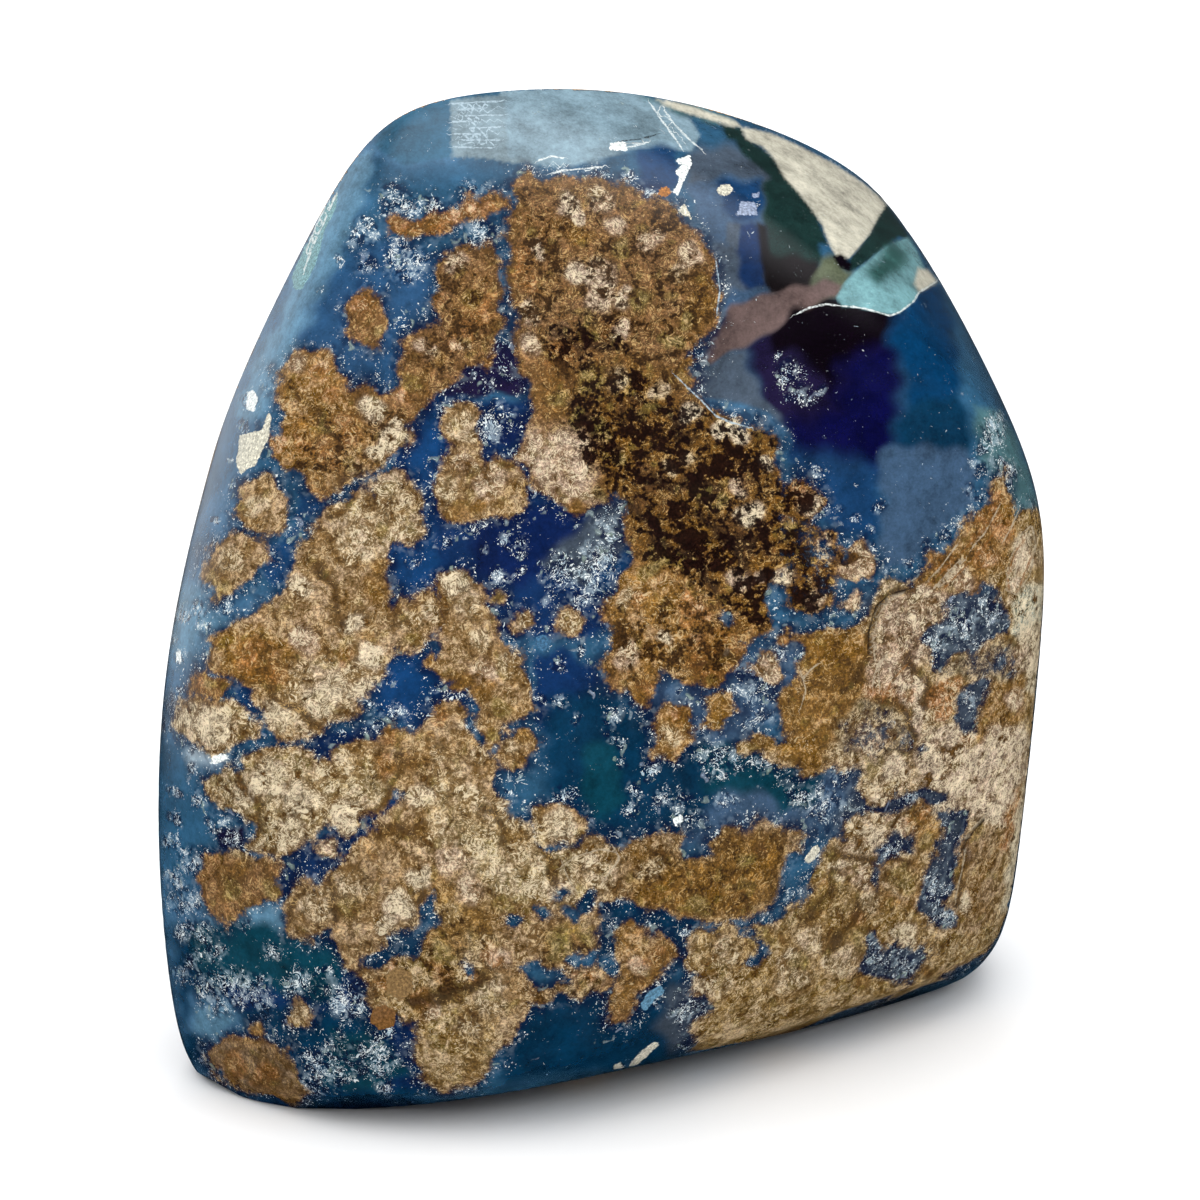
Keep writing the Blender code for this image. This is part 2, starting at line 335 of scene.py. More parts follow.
COLOURS = {
    "dull brown": "6a5640",
    "moss grey": "736f59",
    "furrow": "5f4118",
    "seam": "2a1c12",
    "pale green": "9fb0a4",
    "pale strip": "a8a48c",
    "deep teal": "2b566f",
    # Colours of the painted reflections of a window and a softbox on the top facet.
    "window reflection": "6f838c",
    "facet reflection": "758d99",
    "pond": "24486b",
    "green chalk": "9fb3a4",
    "shade": "081230",
    "golden hair": "b3925c",
    "gap": "1a0704",
    "amber": "865e1e",
    "deep brown": "66440f",
    "straw light": "8f7d54",
    "straw": "856b36",
    "veil": "a8bcc8",
    "conch": "6b959a",
    "olive haze": "555c48",
    "violet": "050636",
    "gold moss": "7f5a1e",
    "lilac white": "b4bbd0",
    "chalk": "d9c9a8",
    "tan": "80643d",
    "light tan": "8e7853",
    "cream": "ad9f86",
    "brown": "73502a",
    "dark brown": "583a1c",
    "rust": "86541c",
    "orange": "9a6228",
    "ochre": "77520e",
    "gold": "865f1c",
    "olive": "716428",
    "pink": "967c66",
    "pale pink": "ad9985",
    "maroon": "0c0609",
    "steel": "3a607e",
    "light steel": "557d96",
    "lilac grey": "8b97ae",
    "harbour": "28506c",
    "blue": "0d3560",
    "mid blue": "12355a",
    "navy": "0b2850",
    "deep navy": "081c48",
    "purple": "181230",
    "ink": "070209",
    "teal": "042c46",
    "green teal": "083949",
    "dark green": "142c2a",
    "green": "2f5552",
    "haze": "38506a",
    "grey haze": "424e5c",
    "pink haze": "604f4c",
    "slate": "39434f",
    "green grey": "42646a",
    "quartz": "c3bfae",
    "white": "e2e8e6",
    "bright blue": "012f52",
}

# Ground between the moss, and the painted reflections of a softbox and a window on the top facet: colour, softness of
# its border, outline.
WASHES = [
    ("steel", 30, [(150, 330), (330, 100), (470, 90), (470, 190), (330, 260), (260, 420), (225, 640), (215, 900), (215, 1090), (150, 1090)]),
    ("light steel", 8, [(372, 148), (373, 165), (367, 190), (350, 232), (335, 280), (321, 313), (293, 351), (262, 420), (230, 420), (290, 290), (340, 170)]),
    ("deep teal", 5, [(374, 146), (385, 118), (430, 96), (470, 88), (560, 84), (560, 170), (500, 160), (453, 157), (403, 166)]),
    ("harbour", 10, [(372, 150), (403, 166), (453, 158), (500, 161), (560, 170), (590, 172), (640, 170), (640, 186), (560, 186), (500, 196), (430, 200), (385, 215), (360, 235)]),
    # The next three washes are painted reflections on the top facet: a softbox across it and a window at its left end.
    ("facet reflection", 3, [(500, 88), (560, 84), (620, 88), (655, 96), (690, 118), (700, 135), (692, 152), (676, 150), (655, 146), (622, 152), (596, 162), (560, 167), (529, 164), (500, 156)]),
    ("window reflection", 2, [(450, 100), (476, 97), (505, 95), (508, 158), (538, 161), (512, 163), (484, 158), (452, 157)]),
    ("facet reflection", 5, [(522, 84), (560, 84), (560, 120), (530, 120)]),
    ("pond", 22, [(300, 340), (322, 285), (350, 250), (400, 235), (440, 260), (432, 300), (425, 330), (400, 390), (345, 390)]),
    ("navy", 14, [(430, 385), (470, 400), (540, 400), (620, 500), (640, 560), (600, 640), (480, 640), (380, 620), (380, 540), (395, 460)]),
    ("blue", 10, [(405, 470), (440, 392), (456, 396), (446, 430), (440, 470), (425, 500), (440, 560), (420, 600), (390, 600), (385, 545), (425, 540), (420, 500)]),
    ("deep navy", 18, [(470, 518), (560, 500), (590, 515), (570, 560), (520, 590), (470, 570)]),
    ("purple", 7, [(442, 375), (480, 350), (500, 340), (525, 350), (528, 395), (500, 392), (470, 398), (440, 392)]),
    ("deep navy", 6, [(498, 420), (530, 412), (525, 432), (508, 447), (495, 440)]),
    ("blue", 14, [(366, 660), (400, 648), (440, 655), (475, 702), (430, 730), (372, 712)]),
    ("navy", 10, [(535, 655), (560, 650), (600, 665), (600, 700), (560, 735), (535, 720)]),
    ("teal", 22, [(548, 700), (610, 690), (640, 720), (650, 840), (560, 850), (545, 760)]),
    ("green teal", 14, [(585, 745), (615, 740), (625, 800), (600, 825), (582, 800)]),
    ("haze", 25, [(640, 690), (720, 660), (800, 640), (800, 700), (740, 740), (860, 770), (860, 830), (640, 850)]),
    ("teal", 18, [(640, 700), (700, 730), (720, 770), (700, 830), (640, 845), (620, 770)]),
    ("green teal", 12, [(765, 785), (800, 780), (810, 805), (785, 815)]),
    ("slate", 18, [(860, 590), (1015, 590), (1000, 740), (940, 1000), (790, 1000), (850, 780)]),
    ("teal", 22, [(170, 930), (330, 930), (420, 940), (430, 1100), (300, 1120), (180, 1060)]),
    ("steel", 16, [(190, 995), (235, 1000), (250, 1030), (215, 1050), (185, 1030)]),
    ("steel", 12, [(242, 912), (283, 896), (288, 930), (262, 955), (238, 940)]),
    ("teal", 14, [(515, 985), (640, 985), (690, 975), (690, 1060), (500, 1080)]),
    ("navy", 12, [(395, 1018), (415, 1022), (420, 1085), (395, 1092), (370, 1080)]),
    ("teal", 10, [(575, 890), (700, 900), (705, 940), (680, 965), (640, 930), (600, 960), (590, 920)]),
    ("slate", 14, [(668, 985), (712, 985), (705, 1030), (670, 1055), (655, 1030)]),
    ("steel", 14, [(192, 596), (232, 594), (268, 596), (262, 615), (226, 626), (205, 660), (192, 660)]),
    ("mid blue", 9, [(226, 678), (256, 682), (260, 712), (238, 712)]),
    ("mid blue", 9, [(258, 552), (300, 528), (330, 500), (300, 490), (296, 575), (270, 590)]),
    ("harbour", 14, [(160, 745), (240, 745), (330, 735), (245, 765), (212, 800), (250, 830), (215, 880), (162, 880)]),
    ("purple", 6, [(215, 830), (244, 826), (246, 846), (220, 850)]),
    ("navy", 10, [(310, 735), (375, 722), (378, 745), (330, 768), (312, 755)]),
    ("navy", 9, [(262, 895), (300, 845), (350, 820), (402, 795), (405, 815), (370, 850), (330, 880), (290, 895)]),
    ("slate", 12, [(625, 495), (600, 498), (590, 520), (560, 545), (540, 560), (600, 600), (640, 560)]),
    ("mid blue", 10, [(600, 562), (632, 545), (630, 575), (600, 600), (590, 590)]),
    ("light steel", 30, [(140, 580), (205, 585), (222, 620), (200, 652), (150, 665)]),
    ("veil", 16, [(186, 750), (222, 748), (226, 762), (190, 768)]),
    ("light steel", 14, [(205, 905), (238, 890), (262, 905), (282, 900), (286, 935), (250, 950), (215, 940)]),
    ("light steel", 14, [(196, 1008), (224, 1002), (236, 1020), (216, 1040), (196, 1034)]),
    ("navy", 12, [(300, 975), (360, 965), (362, 1005), (310, 1010)]),
    ("navy", 12, [(222, 975), (290, 968), (292, 1002), (230, 1008)]),
    ("green teal", 16, [(700, 745), (790, 740), (830, 760), (812, 800), (760, 790), (705, 790)]),
    # Upper right: clear agate, quartz and the dark window of amethyst.
    ("mid blue", 10, [(640, 146), (676, 146), (680, 186), (655, 202), (640, 197)]),
    ("harbour", 20, [(870, 290), (935, 275), (1000, 400), (1050, 520), (1030, 560), (960, 560), (900, 480)]),
    ("purple", 24, [(740, 345), (790, 310), (900, 300), (905, 330), (890, 400), (870, 450), (800, 440), (760, 410)]),
    ("ink", 16, [(770, 330), (800, 298), (900, 298), (898, 322), (885, 343), (863, 357), (842, 366), (838, 385), (838, 405), (822, 378), (795, 352), (770, 352)]),
    ("violet", 30, [(842, 364), (880, 345), (897, 350), (904, 375), (900, 440), (880, 480), (835, 470), (780, 462), (782, 425), (834, 410)]),
    ("mid blue", 34, [(786, 450), (840, 455), (880, 470), (890, 520), (876, 550), (835, 540), (815, 520), (795, 486)]),
    ("harbour", 24, [(815, 520), (850, 545), (885, 560), (880, 585), (860, 600), (840, 560), (820, 540)]),
    ("bright blue", 16, [(892, 320), (906, 305), (924, 283), (941, 283), (950, 310), (958, 368), (958, 404), (952, 440), (962, 462), (905, 470), (899, 440), (906, 404), (903, 368), (888, 346)]),
    ("teal", 16, [(905, 405), (955, 395), (972, 425), (970, 450), (920, 446), (892, 446), (897, 425)]),
    ("haze", 12, [(884, 446), (920, 443), (970, 449), (978, 470), (973, 503), (952, 522), (925, 548), (905, 562), (887, 570), (880, 540), (887, 500), (880, 470)]),
    ("green grey", 12, [(975, 405), (1012, 425), (1042, 500), (1045, 600), (1020, 560), (1010, 510), (985, 470)]),
    ("grey haze", 14, [(683, 165), (700, 145), (745, 145), (790, 180), (800, 215), (790, 290), (760, 330), (722, 362), (697, 352), (720, 310), (712, 250)]),
    ("haze", 8, [(690, 190), (720, 175), (760, 180), (765, 230), (730, 250), (710, 240)]),
    ("mid blue", 9, [(717, 182), (760, 184), (762, 200), (757, 218), (737, 218), (722, 208)]),
    ("navy", 8, [(739, 222), (752, 220), (762, 240), (765, 289), (747, 292), (740, 262)]),
    ("grey haze", 4, [(727, 222), (740, 224), (738, 250), (726, 242)]),
    ("dark green", 9, [(762, 186), (775, 174), (790, 188), (808, 210), (819, 235), (822, 262), (808, 268), (768, 264), (762, 230)]),
    ("ink", 6, [(757, 222), (767, 226), (774, 290), (767, 290), (761, 262)]),
    ("maroon", 9, [(764, 252), (790, 256), (812, 258), (824, 270), (814, 288), (790, 296), (766, 294)]),
    ("haze", 8, [(733, 290), (764, 289), (770, 312), (745, 335), (722, 352), (712, 340)]),
    ("olive haze", 8, [(820, 260), (836, 256), (853, 271), (845, 285), (836, 300), (815, 304), (806, 288)]),
    ("pink haze", 7, [(699, 366), (706, 345), (715, 326), (735, 308), (759, 297), (795, 287), (827, 279), (842, 283), (838, 298), (826, 303), (809, 307), (795, 312), (780, 324), (762, 337), (744, 347), (712, 364)]),
    ("dark green", 5, [(733, 136), (747, 138), (775, 158), (788, 176), (802, 195), (816, 213), (828, 245), (816, 242), (800, 214), (784, 192), (765, 172), (742, 154)]),
    ("green grey", 8, [(645, 92), (700, 104), (741, 126), (728, 128), (700, 122), (665, 108)]),
    ("dark green", 4, [(720, 124), (742, 128), (746, 141), (728, 139)]),
    ("quartz", 3, [(655, 97), (690, 106), (735, 121), (741, 126), (733, 127), (700, 117), (668, 107)]),
    ("quartz", 3, [(741, 127), (770, 133), (795, 144), (834, 164), (863, 183), (889, 204), (880, 216), (871, 232), (857, 250), (848, 259), (836, 256), (829, 243), (822, 224), (809, 206), (798, 192), (784, 177), (773, 157), (762, 146), (746, 139)]),
    ("dark green", 3, [(850, 272), (863, 264), (885, 247), (899, 236), (911, 241), (903, 224), (892, 207), (887, 204), (879, 216), (870, 234), (857, 251), (850, 259)]),
    ("conch", 3, [(836, 298), (845, 282), (856, 271), (885, 247), (908, 237), (916, 249), (926, 271), (938, 281), (928, 287), (919, 292), (915, 300), (908, 306), (899, 313), (888, 314), (874, 311), (856, 307), (842, 306)]),
    ("green", 16, [(866, 268), (893, 246), (906, 252), (898, 272), (880, 282)]),
    ("quartz", 5, [(918, 268), (928, 270), (938, 281), (927, 288), (919, 292), (914, 284)]),
    ("ink", 3, [(832, 256), (842, 254), (852, 264), (850, 272), (840, 268)]),
    ("grey haze", 8, [(678, 378), (708, 366), (744, 350), (750, 372), (762, 400), (780, 415), (792, 434), (748, 428), (716, 415), (701, 398)]),
    ("steel", 6, [(704, 398), (740, 403), (768, 412), (788, 432), (780, 440), (748, 428), (716, 416)]),
    ("green teal", 14, [(190, 930), (240, 920), (300, 935), (345, 960), (335, 1005), (270, 990), (215, 985), (190, 960)]),
    ("green teal", 14, [(330, 1030), (380, 1040), (412, 1070), (370, 1092), (320, 1085)]),
    ("harbour", 8, [(778, 430), (790, 434), (792, 470), (786, 490), (776, 470)]),
]

# Moss: outlines of its masses, with the colour that each has before its spherules are drawn.
MASSES = [
    ("brown", [(278, 370), (290, 364), (304, 353), (320, 350), (334, 360), (342, 372), (352, 388), (372, 382), (385, 392), (400, 386), (404, 365), (403, 345), (412, 335), (415, 325), (428, 322), (438, 318), (432, 303), (440, 285), (437, 262), (452, 250), (470, 245), (490, 245), (500, 252), (502, 290), (505, 325), (503, 342), (495, 352), (482, 364), (465, 370), (452, 380), (440, 390), (430, 402), (418, 412), (410, 425), (405, 440), (398, 455), (385, 463), (370, 470), (362, 480), (350, 482), (340, 494), (326, 500), (312, 490), (300, 478), (283, 472), (275, 460), (270, 445), (278, 432), (282, 418), (278, 400), (272, 385)]),
    ("brown", [(357, 297), (366, 290), (380, 298), (384, 315), (385, 330), (378, 345), (368, 352), (355, 340), (347, 325), (350, 308)]),
    ("rust", [(388, 218), (400, 215), (420, 216), (435, 208), (455, 205), (470, 198), (490, 193), (505, 195), (512, 205), (500, 214), (480, 216), (460, 220), (445, 230), (430, 240), (415, 236), (400, 241), (388, 232)]),
    ("brown", [(517, 175), (525, 168), (535, 175), (550, 182), (575, 178), (600, 180), (625, 185), (645, 195), (665, 203), (678, 205), (685, 220), (692, 232), (703, 245), (712, 258), (716, 275), (720, 295), (718, 310), (710, 325), (700, 345), (695, 352), (690, 360), (695, 372), (690, 390), (705, 403), (718, 418), (735, 424), (750, 426), (765, 431), (778, 432), (780, 445), (776, 455), (780, 475), (784, 492), (795, 487), (803, 480), (815, 488), (825, 500), (820, 512), (812, 522), (822, 535), (835, 532), (845, 545), (845, 560), (838, 590), (832, 605), (820, 612), (800, 610), (790, 600), (778, 583), (765, 594), (768, 612), (775, 628), (765, 640), (745, 643), (742, 655), (733, 668), (722, 682), (705, 690), (690, 686), (675, 678), (662, 672), (655, 685), (658, 697), (650, 708), (638, 705), (628, 695), (612, 690), (603, 680), (602, 662), (608, 645), (612, 630), (602, 618), (604, 600), (615, 585), (628, 572), (635, 560), (632, 548), (624, 538), (625, 515), (620, 500), (612, 493), (600, 500), (590, 512), (578, 517), (565, 510), (552, 498), (540, 490), (528, 480), (518, 465), (515, 452), (520, 440), (530, 425), (530, 400), (528, 385), (520, 370), (512, 350), (510, 330), (512, 310), (508, 290), (505, 265), (510, 248), (500, 240), (508, 225), (512, 205), (515, 190)]),
    ("tan", [(445, 408), (458, 402), (470, 405), (478, 415), (478, 435), (482, 455), (485, 470), (494, 465), (502, 458), (512, 463), (520, 472), (526, 490), (525, 505), (515, 516), (505, 520), (490, 516), (475, 519), (460, 526), (447, 520), (437, 510), (431, 495), (435, 475), (446, 465), (450, 450), (445, 432)]),
    ("tan", [(240, 488), (252, 480), (268, 478), (278, 488), (285, 500), (288, 515), (280, 528), (268, 535), (255, 535), (243, 528), (236, 512), (235, 498)]),
    ("tan", [(209, 552), (222, 541), (238, 533), (255, 535), (266, 546), (268, 556), (260, 568), (256, 580), (240, 588), (228, 597), (215, 594), (206, 580), (205, 565)]),
    ("tan", [(325, 507), (308, 530), (300, 550), (295, 575), (283, 587), (272, 600), (258, 614), (240, 618), (228, 624), (214, 638), (210, 655), (214, 668), (228, 676), (245, 682), (258, 690), (254, 700), (262, 715), (268, 728), (282, 738), (298, 742), (310, 735), (325, 725), (345, 720), (358, 718), (362, 702), (368, 685), (385, 668), (392, 655), (405, 652), (425, 647), (440, 640), (446, 618), (443, 600), (432, 595), (418, 594), (405, 600), (398, 612), (392, 612), (389, 600), (387, 575), (388, 556), (396, 549), (412, 545), (423, 535), (424, 520), (420, 505), (417, 490), (407, 480), (395, 468), (382, 478), (370, 488), (355, 490), (340, 500)]),
    ("tan", [(437, 590), (441, 578), (452, 570), (465, 573), (476, 583), (487, 600), (496, 615), (501, 635), (503, 646), (513, 649), (523, 660), (527, 675), (532, 688), (535, 700), (532, 712), (525, 718), (512, 722), (503, 732), (500, 745), (490, 760), (480, 745), (473, 728), (475, 710), (473, 700), (465, 690), (455, 683), (441, 680), (432, 668), (437, 655), (440, 640), (443, 618)]),
    ("light tan", [(172, 708), (180, 700), (195, 698), (215, 700), (235, 706), (250, 712), (262, 722), (258, 735), (245, 738), (235, 745), (228, 752), (218, 758), (205, 752), (195, 742), (182, 738), (175, 725)]),
    ("brown", [(186, 690), (188, 678), (200, 672), (215, 674), (226, 678), (230, 688), (222, 697), (208, 700), (195, 698)]),
    ("tan", [(205, 780), (215, 770), (235, 768), (250, 755), (270, 750), (298, 746), (314, 752), (322, 766), (338, 762), (345, 750), (355, 742), (372, 740), (380, 728), (392, 722), (405, 728), (418, 722), (430, 714), (447, 703), (460, 707), (466, 718), (476, 736), (488, 752), (500, 760), (498, 782), (505, 802), (512, 816), (524, 828), (536, 838), (548, 846), (562, 852), (575, 846), (588, 836), (604, 836), (622, 848), (640, 838), (665, 830), (682, 828), (688, 836), (681, 846), (684, 860), (696, 860), (710, 850), (707, 838), (722, 829), (745, 826), (765, 822), (790, 830), (805, 832), (800, 850), (786, 858), (783, 880), (776, 898), (764, 912), (744, 919), (720, 926), (700, 920), (688, 917), (665, 911), (640, 904), (616, 896), (604, 900), (598, 918), (597, 940), (598, 958), (606, 972), (612, 985), (606, 998), (585, 998), (560, 996), (545, 1000), (530, 1003), (522, 1015), (518, 1030), (508, 1040), (500, 1055), (485, 1072), (470, 1085), (440, 1092), (425, 1085), (416, 1060), (411, 1030), (415, 1020), (405, 1018), (390, 1012), (372, 1015), (365, 1005), (368, 990), (362, 978), (358, 968), (348, 962), (338, 948), (330, 932), (318, 936), (303, 945), (290, 938), (286, 920), (285, 900), (290, 886), (305, 882), (322, 881), (338, 866), (350, 850), (362, 836), (378, 822), (392, 811), (401, 792), (386, 806), (370, 815), (354, 827), (332, 829), (313, 832), (300, 846), (284, 852), (260, 856), (250, 842), (256, 826), (240, 816), (222, 812), (207, 797)]),
    ("brown", [(200, 858), (210, 852), (240, 850), (260, 860), (275, 860), (282, 870), (275, 885), (265, 900), (250, 910), (235, 920), (225, 930), (215, 920), (215, 905), (205, 895), (200, 885), (205, 870)]),
    ("brown", [(210, 1048), (225, 1040), (245, 1036), (265, 1045), (285, 1050), (295, 1060), (300, 1080), (310, 1095), (300, 1110), (270, 1105), (240, 1090), (225, 1083), (215, 1065)]),
    ("brown", [(612, 930), (630, 922), (650, 934), (670, 938), (678, 950), (668, 965), (660, 975), (645, 990), (638, 1005), (625, 1020), (610, 1022), (606, 1003), (612, 985), (620, 970), (612, 950)]),
    ("tan", [(535, 810), (550, 803), (575, 808), (587, 820), (583, 834), (570, 842), (550, 846), (535, 840)]),
    ("tan", [(652, 712), (660, 705), (680, 702), (690, 712), (697, 725), (692, 740), (688, 750), (672, 760), (655, 760), (652, 750), (656, 735), (652, 722)]),
    ("gold", [(703, 700), (715, 692), (735, 697), (737, 710), (730, 722), (715, 727), (705, 720)]),
    ("straw", [(700, 1030), (760, 1005), (850, 990), (925, 970), (975, 940), (1000, 925), (1016, 930), (1004, 968), (985, 985), (930, 1000), (860, 1022), (760, 1050), (700, 1070)]),
    ("straw", [(1003, 468), (992, 490), (981, 512), (964, 528), (948, 543), (936, 561), (920, 580), (904, 586), (891, 577), (879, 589), (871, 606), (862, 620), (850, 624), (830, 628), (808, 632), (795, 640), (800, 655), (797, 675), (785, 690), (778, 705), (782, 718), (790, 730), (785, 742), (775, 746), (765, 740), (750, 737), (740, 745), (738, 757), (752, 753), (768, 760), (785, 768), (800, 775), (825, 770), (850, 768), (862, 778), (855, 795), (862, 808), (856, 825), (845, 836), (832, 838), (825, 850), (815, 870), (808, 885), (800, 900), (785, 915), (770, 925), (755, 932), (740, 926), (720, 928), (702, 932), (690, 945), (688, 960), (692, 975), (705, 985), (708, 1000), (700, 1020), (690, 1040), (700, 1060), (800, 1030), (900, 1000), (1000, 970), (1060, 800), (1060, 500), (1035, 505), (1020, 520), (1010, 500)]),
    ("tan", [(505, 742), (512, 734), (530, 731), (540, 738), (538, 752), (526, 766), (508, 769), (502, 756)]),
]

# Broad tones within the moss, laid over the masses before the spherules: colour, softness, outline.
TONES = [
    ("deep brown", 40, [(545, 370), (640, 360), (700, 405), (785, 432), (830, 490), (850, 560), (830, 615), (760, 640), (700, 600), (640, 560), (600, 500), (545, 430)]),
    ("amber", 30, [(600, 560), (700, 580), (760, 620), (735, 670), (690, 690), (620, 690), (600, 620)]),
    ("pink", 30, [(525, 430), (590, 430), (595, 500), (550, 500), (520, 470)]),
    ("brown", 30, [(430, 245), (500, 250), (505, 340), (460, 385), (410, 440), (400, 340)]),
    ("amber", 24, [(270, 360), (330, 350), (350, 400), (390, 460), (340, 495), (280, 470)]),
    ("light tan", 30, [(350, 470), (415, 480), (420, 540), (385, 560), (340, 560), (330, 500)]),
    ("light tan", 34, [(290, 670), (370, 640), (385, 665), (355, 715), (300, 740), (262, 715)]),
    ("gold", 20, [(212, 640), (260, 620), (290, 650), (280, 690), (230, 678)]),
    ("straw light", 40, [(205, 765), (330, 750), (390, 770), (400, 800), (300, 855), (230, 850)]),
    ("tan", 40, [(300, 860), (420, 790), (480, 850), (420, 930), (340, 970), (290, 940)]),
    ("straw", 34, [(410, 890), (480, 880), (500, 980), (500, 1060), (430, 1090), (380, 1010)]),
    ("straw light", 34, [(440, 770), (540, 820), (610, 850), (600, 900), (500, 900), (430, 850)]),
    ("ochre", 26, [(635, 850), (700, 862), (720, 832), (790, 836), (782, 895), (740, 918), (680, 915), (630, 900)]),
    ("ochre", 26, [(790, 650), (810, 636), (870, 620), (866, 700), (850, 770), (800, 775), (775, 740), (780, 700)]),
    ("pink", 26, [(872, 600), (900, 590), (950, 590), (945, 640), (900, 675), (870, 690), (862, 640)]),
    ("gold", 24, [(905, 570), (950, 540), (1000, 480), (1025, 500), (1005, 560), (960, 590), (920, 590)]),
    ("light tan", 30, [(830, 735), (905, 690), (940, 720), (935, 800), (860, 850), (838, 800)]),
    ("pale pink", 30, [(920, 740), (1000, 710), (1015, 760), (990, 820), (930, 810)]),
    ("straw", 40, [(780, 880), (880, 820), (1000, 830), (990, 950), (860, 1000), (700, 1040)]),
    ("dull brown", 20, [(205, 1040), (290, 1050), (310, 1095), (230, 1095)]),
    ("amber", 16, [(606, 925), (680, 940), (645, 1010), (606, 1010)]),
    ("gold", 9, [(793, 640), (806, 632), (830, 630), (846, 630), (860, 634), (876, 640), (870, 660), (860, 672), (854, 684), (852, 700), (840, 718), (832, 728), (820, 744), (804, 760), (780, 760), (780, 750), (788, 740), (780, 716), (786, 700), (800, 678), (794, 660)]),
    ("straw light", 8, [(864, 612), (876, 590), (888, 576), (900, 578), (908, 584), (896, 596), (886, 608), (878, 620), (876, 636), (864, 636)]),
    ("gold", 9, [(920, 580), (936, 564), (952, 544), (964, 532), (980, 526), (994, 500), (1000, 490), (1024, 508), (1024, 520), (1014, 528), (1006, 550), (1004, 568), (992, 576), (970, 580), (952, 572), (940, 584), (928, 592), (912, 588)]),
    ("rust", 10, [(986, 492), (1000, 490), (1000, 512), (988, 516)]),
    ("brown", 10, [(950, 576), (970, 578), (990, 576), (984, 596), (954, 600)]),
    ("pink", 8, [(880, 612), (888, 600), (900, 590), (912, 588), (930, 592), (948, 596), (948, 608), (936, 620), (926, 634), (924, 650), (920, 660), (916, 676), (906, 692), (900, 708), (880, 700), (862, 690), (868, 670), (876, 652), (876, 636)]),
    ("orange", 10, [(862, 688), (880, 684), (898, 690), (900, 708), (880, 704), (864, 700)]),
    ("light tan", 5, [(1016, 540), (1026, 530), (1038, 532), (1040, 548), (1034, 568), (1026, 588), (1014, 602), (1006, 600), (1005, 584), (1008, 560)]),
    ("pale green", 8, [(1014, 600), (1026, 590), (1044, 584), (1042, 616), (1022, 640), (1012, 632)]),
    ("cream", 5, [(1020, 636), (1042, 616), (1042, 672), (1024, 672)]),
    ("moss grey", 10, [(940, 668), (960, 656), (976, 652), (1000, 644), (1010, 640), (1018, 652), (1022, 672), (1010, 680), (980, 676), (940, 676)]),
    ("orange", 8, [(940, 676), (958, 676), (960, 688), (952, 704), (948, 720), (936, 718), (928, 708), (932, 690)]),
    ("gold", 10, [(990, 684), (1006, 680), (1024, 672), (1026, 700), (1024, 720), (1006, 722), (990, 740), (980, 756), (966, 752), (976, 728), (984, 708)]),
    ("pale pink", 6, [(908, 682), (920, 672), (928, 676), (926, 692), (920, 704), (912, 714), (902, 712), (900, 704)]),
    ("pink", 6, [(910, 720), (920, 704), (928, 712), (926, 722), (920, 736), (914, 740)]),
    ("moss grey", 12, [(840, 720), (852, 708), (868, 702), (880, 702), (892, 712), (908, 720), (914, 740), (912, 754), (892, 758), (880, 764), (860, 760), (840, 750)]),
    ("pale pink", 8, [(930, 740), (940, 726), (952, 728), (960, 740), (962, 760), (950, 772), (920, 772), (920, 760)]),
    ("pale pink", 10, [(990, 740), (1006, 722), (1026, 726), (1030, 750), (1026, 780), (1008, 800), (1004, 824), (990, 826), (976, 806), (956, 812), (944, 806), (946, 788), (966, 764), (980, 760)]),
    ("orange", 9, [(1008, 800), (1020, 786), (1022, 810), (1016, 832), (1008, 848), (998, 848), (1000, 832)]),
    ("gold", 10, [(908, 814), (920, 804), (930, 810), (936, 824), (938, 840), (940, 852), (928, 856), (916, 840), (912, 828)]),
    ("pale pink", 10, [(842, 848), (852, 832), (868, 822), (880, 826), (892, 820), (896, 832), (884, 844), (878, 860), (870, 868), (860, 872), (848, 866)]),
    ("gold", 12, [(880, 860), (900, 852), (916, 856), (922, 876), (916, 892), (914, 904), (892, 906), (880, 912), (876, 892)]),
    ("tan", 14, [(956, 860), (964, 844), (976, 828), (998, 832), (998, 892), (996, 912), (986, 928), (970, 940), (956, 932), (960, 912), (952, 900), (956, 880)]),
    ("orange", 12, [(812, 890), (826, 884), (832, 904), (820, 916), (808, 908)]),
    ("pale strip", 5, [(1030, 674), (1046, 670), (1042, 694), (1028, 694)]),
    ("pale strip", 6, [(1012, 830), (1026, 790), (1046, 760), (1040, 800), (1024, 870), (1012, 912), (1000, 910)]),
    ("amber", 14, [(650, 705), (695, 705), (700, 740), (680, 762), (650, 755)]),
]

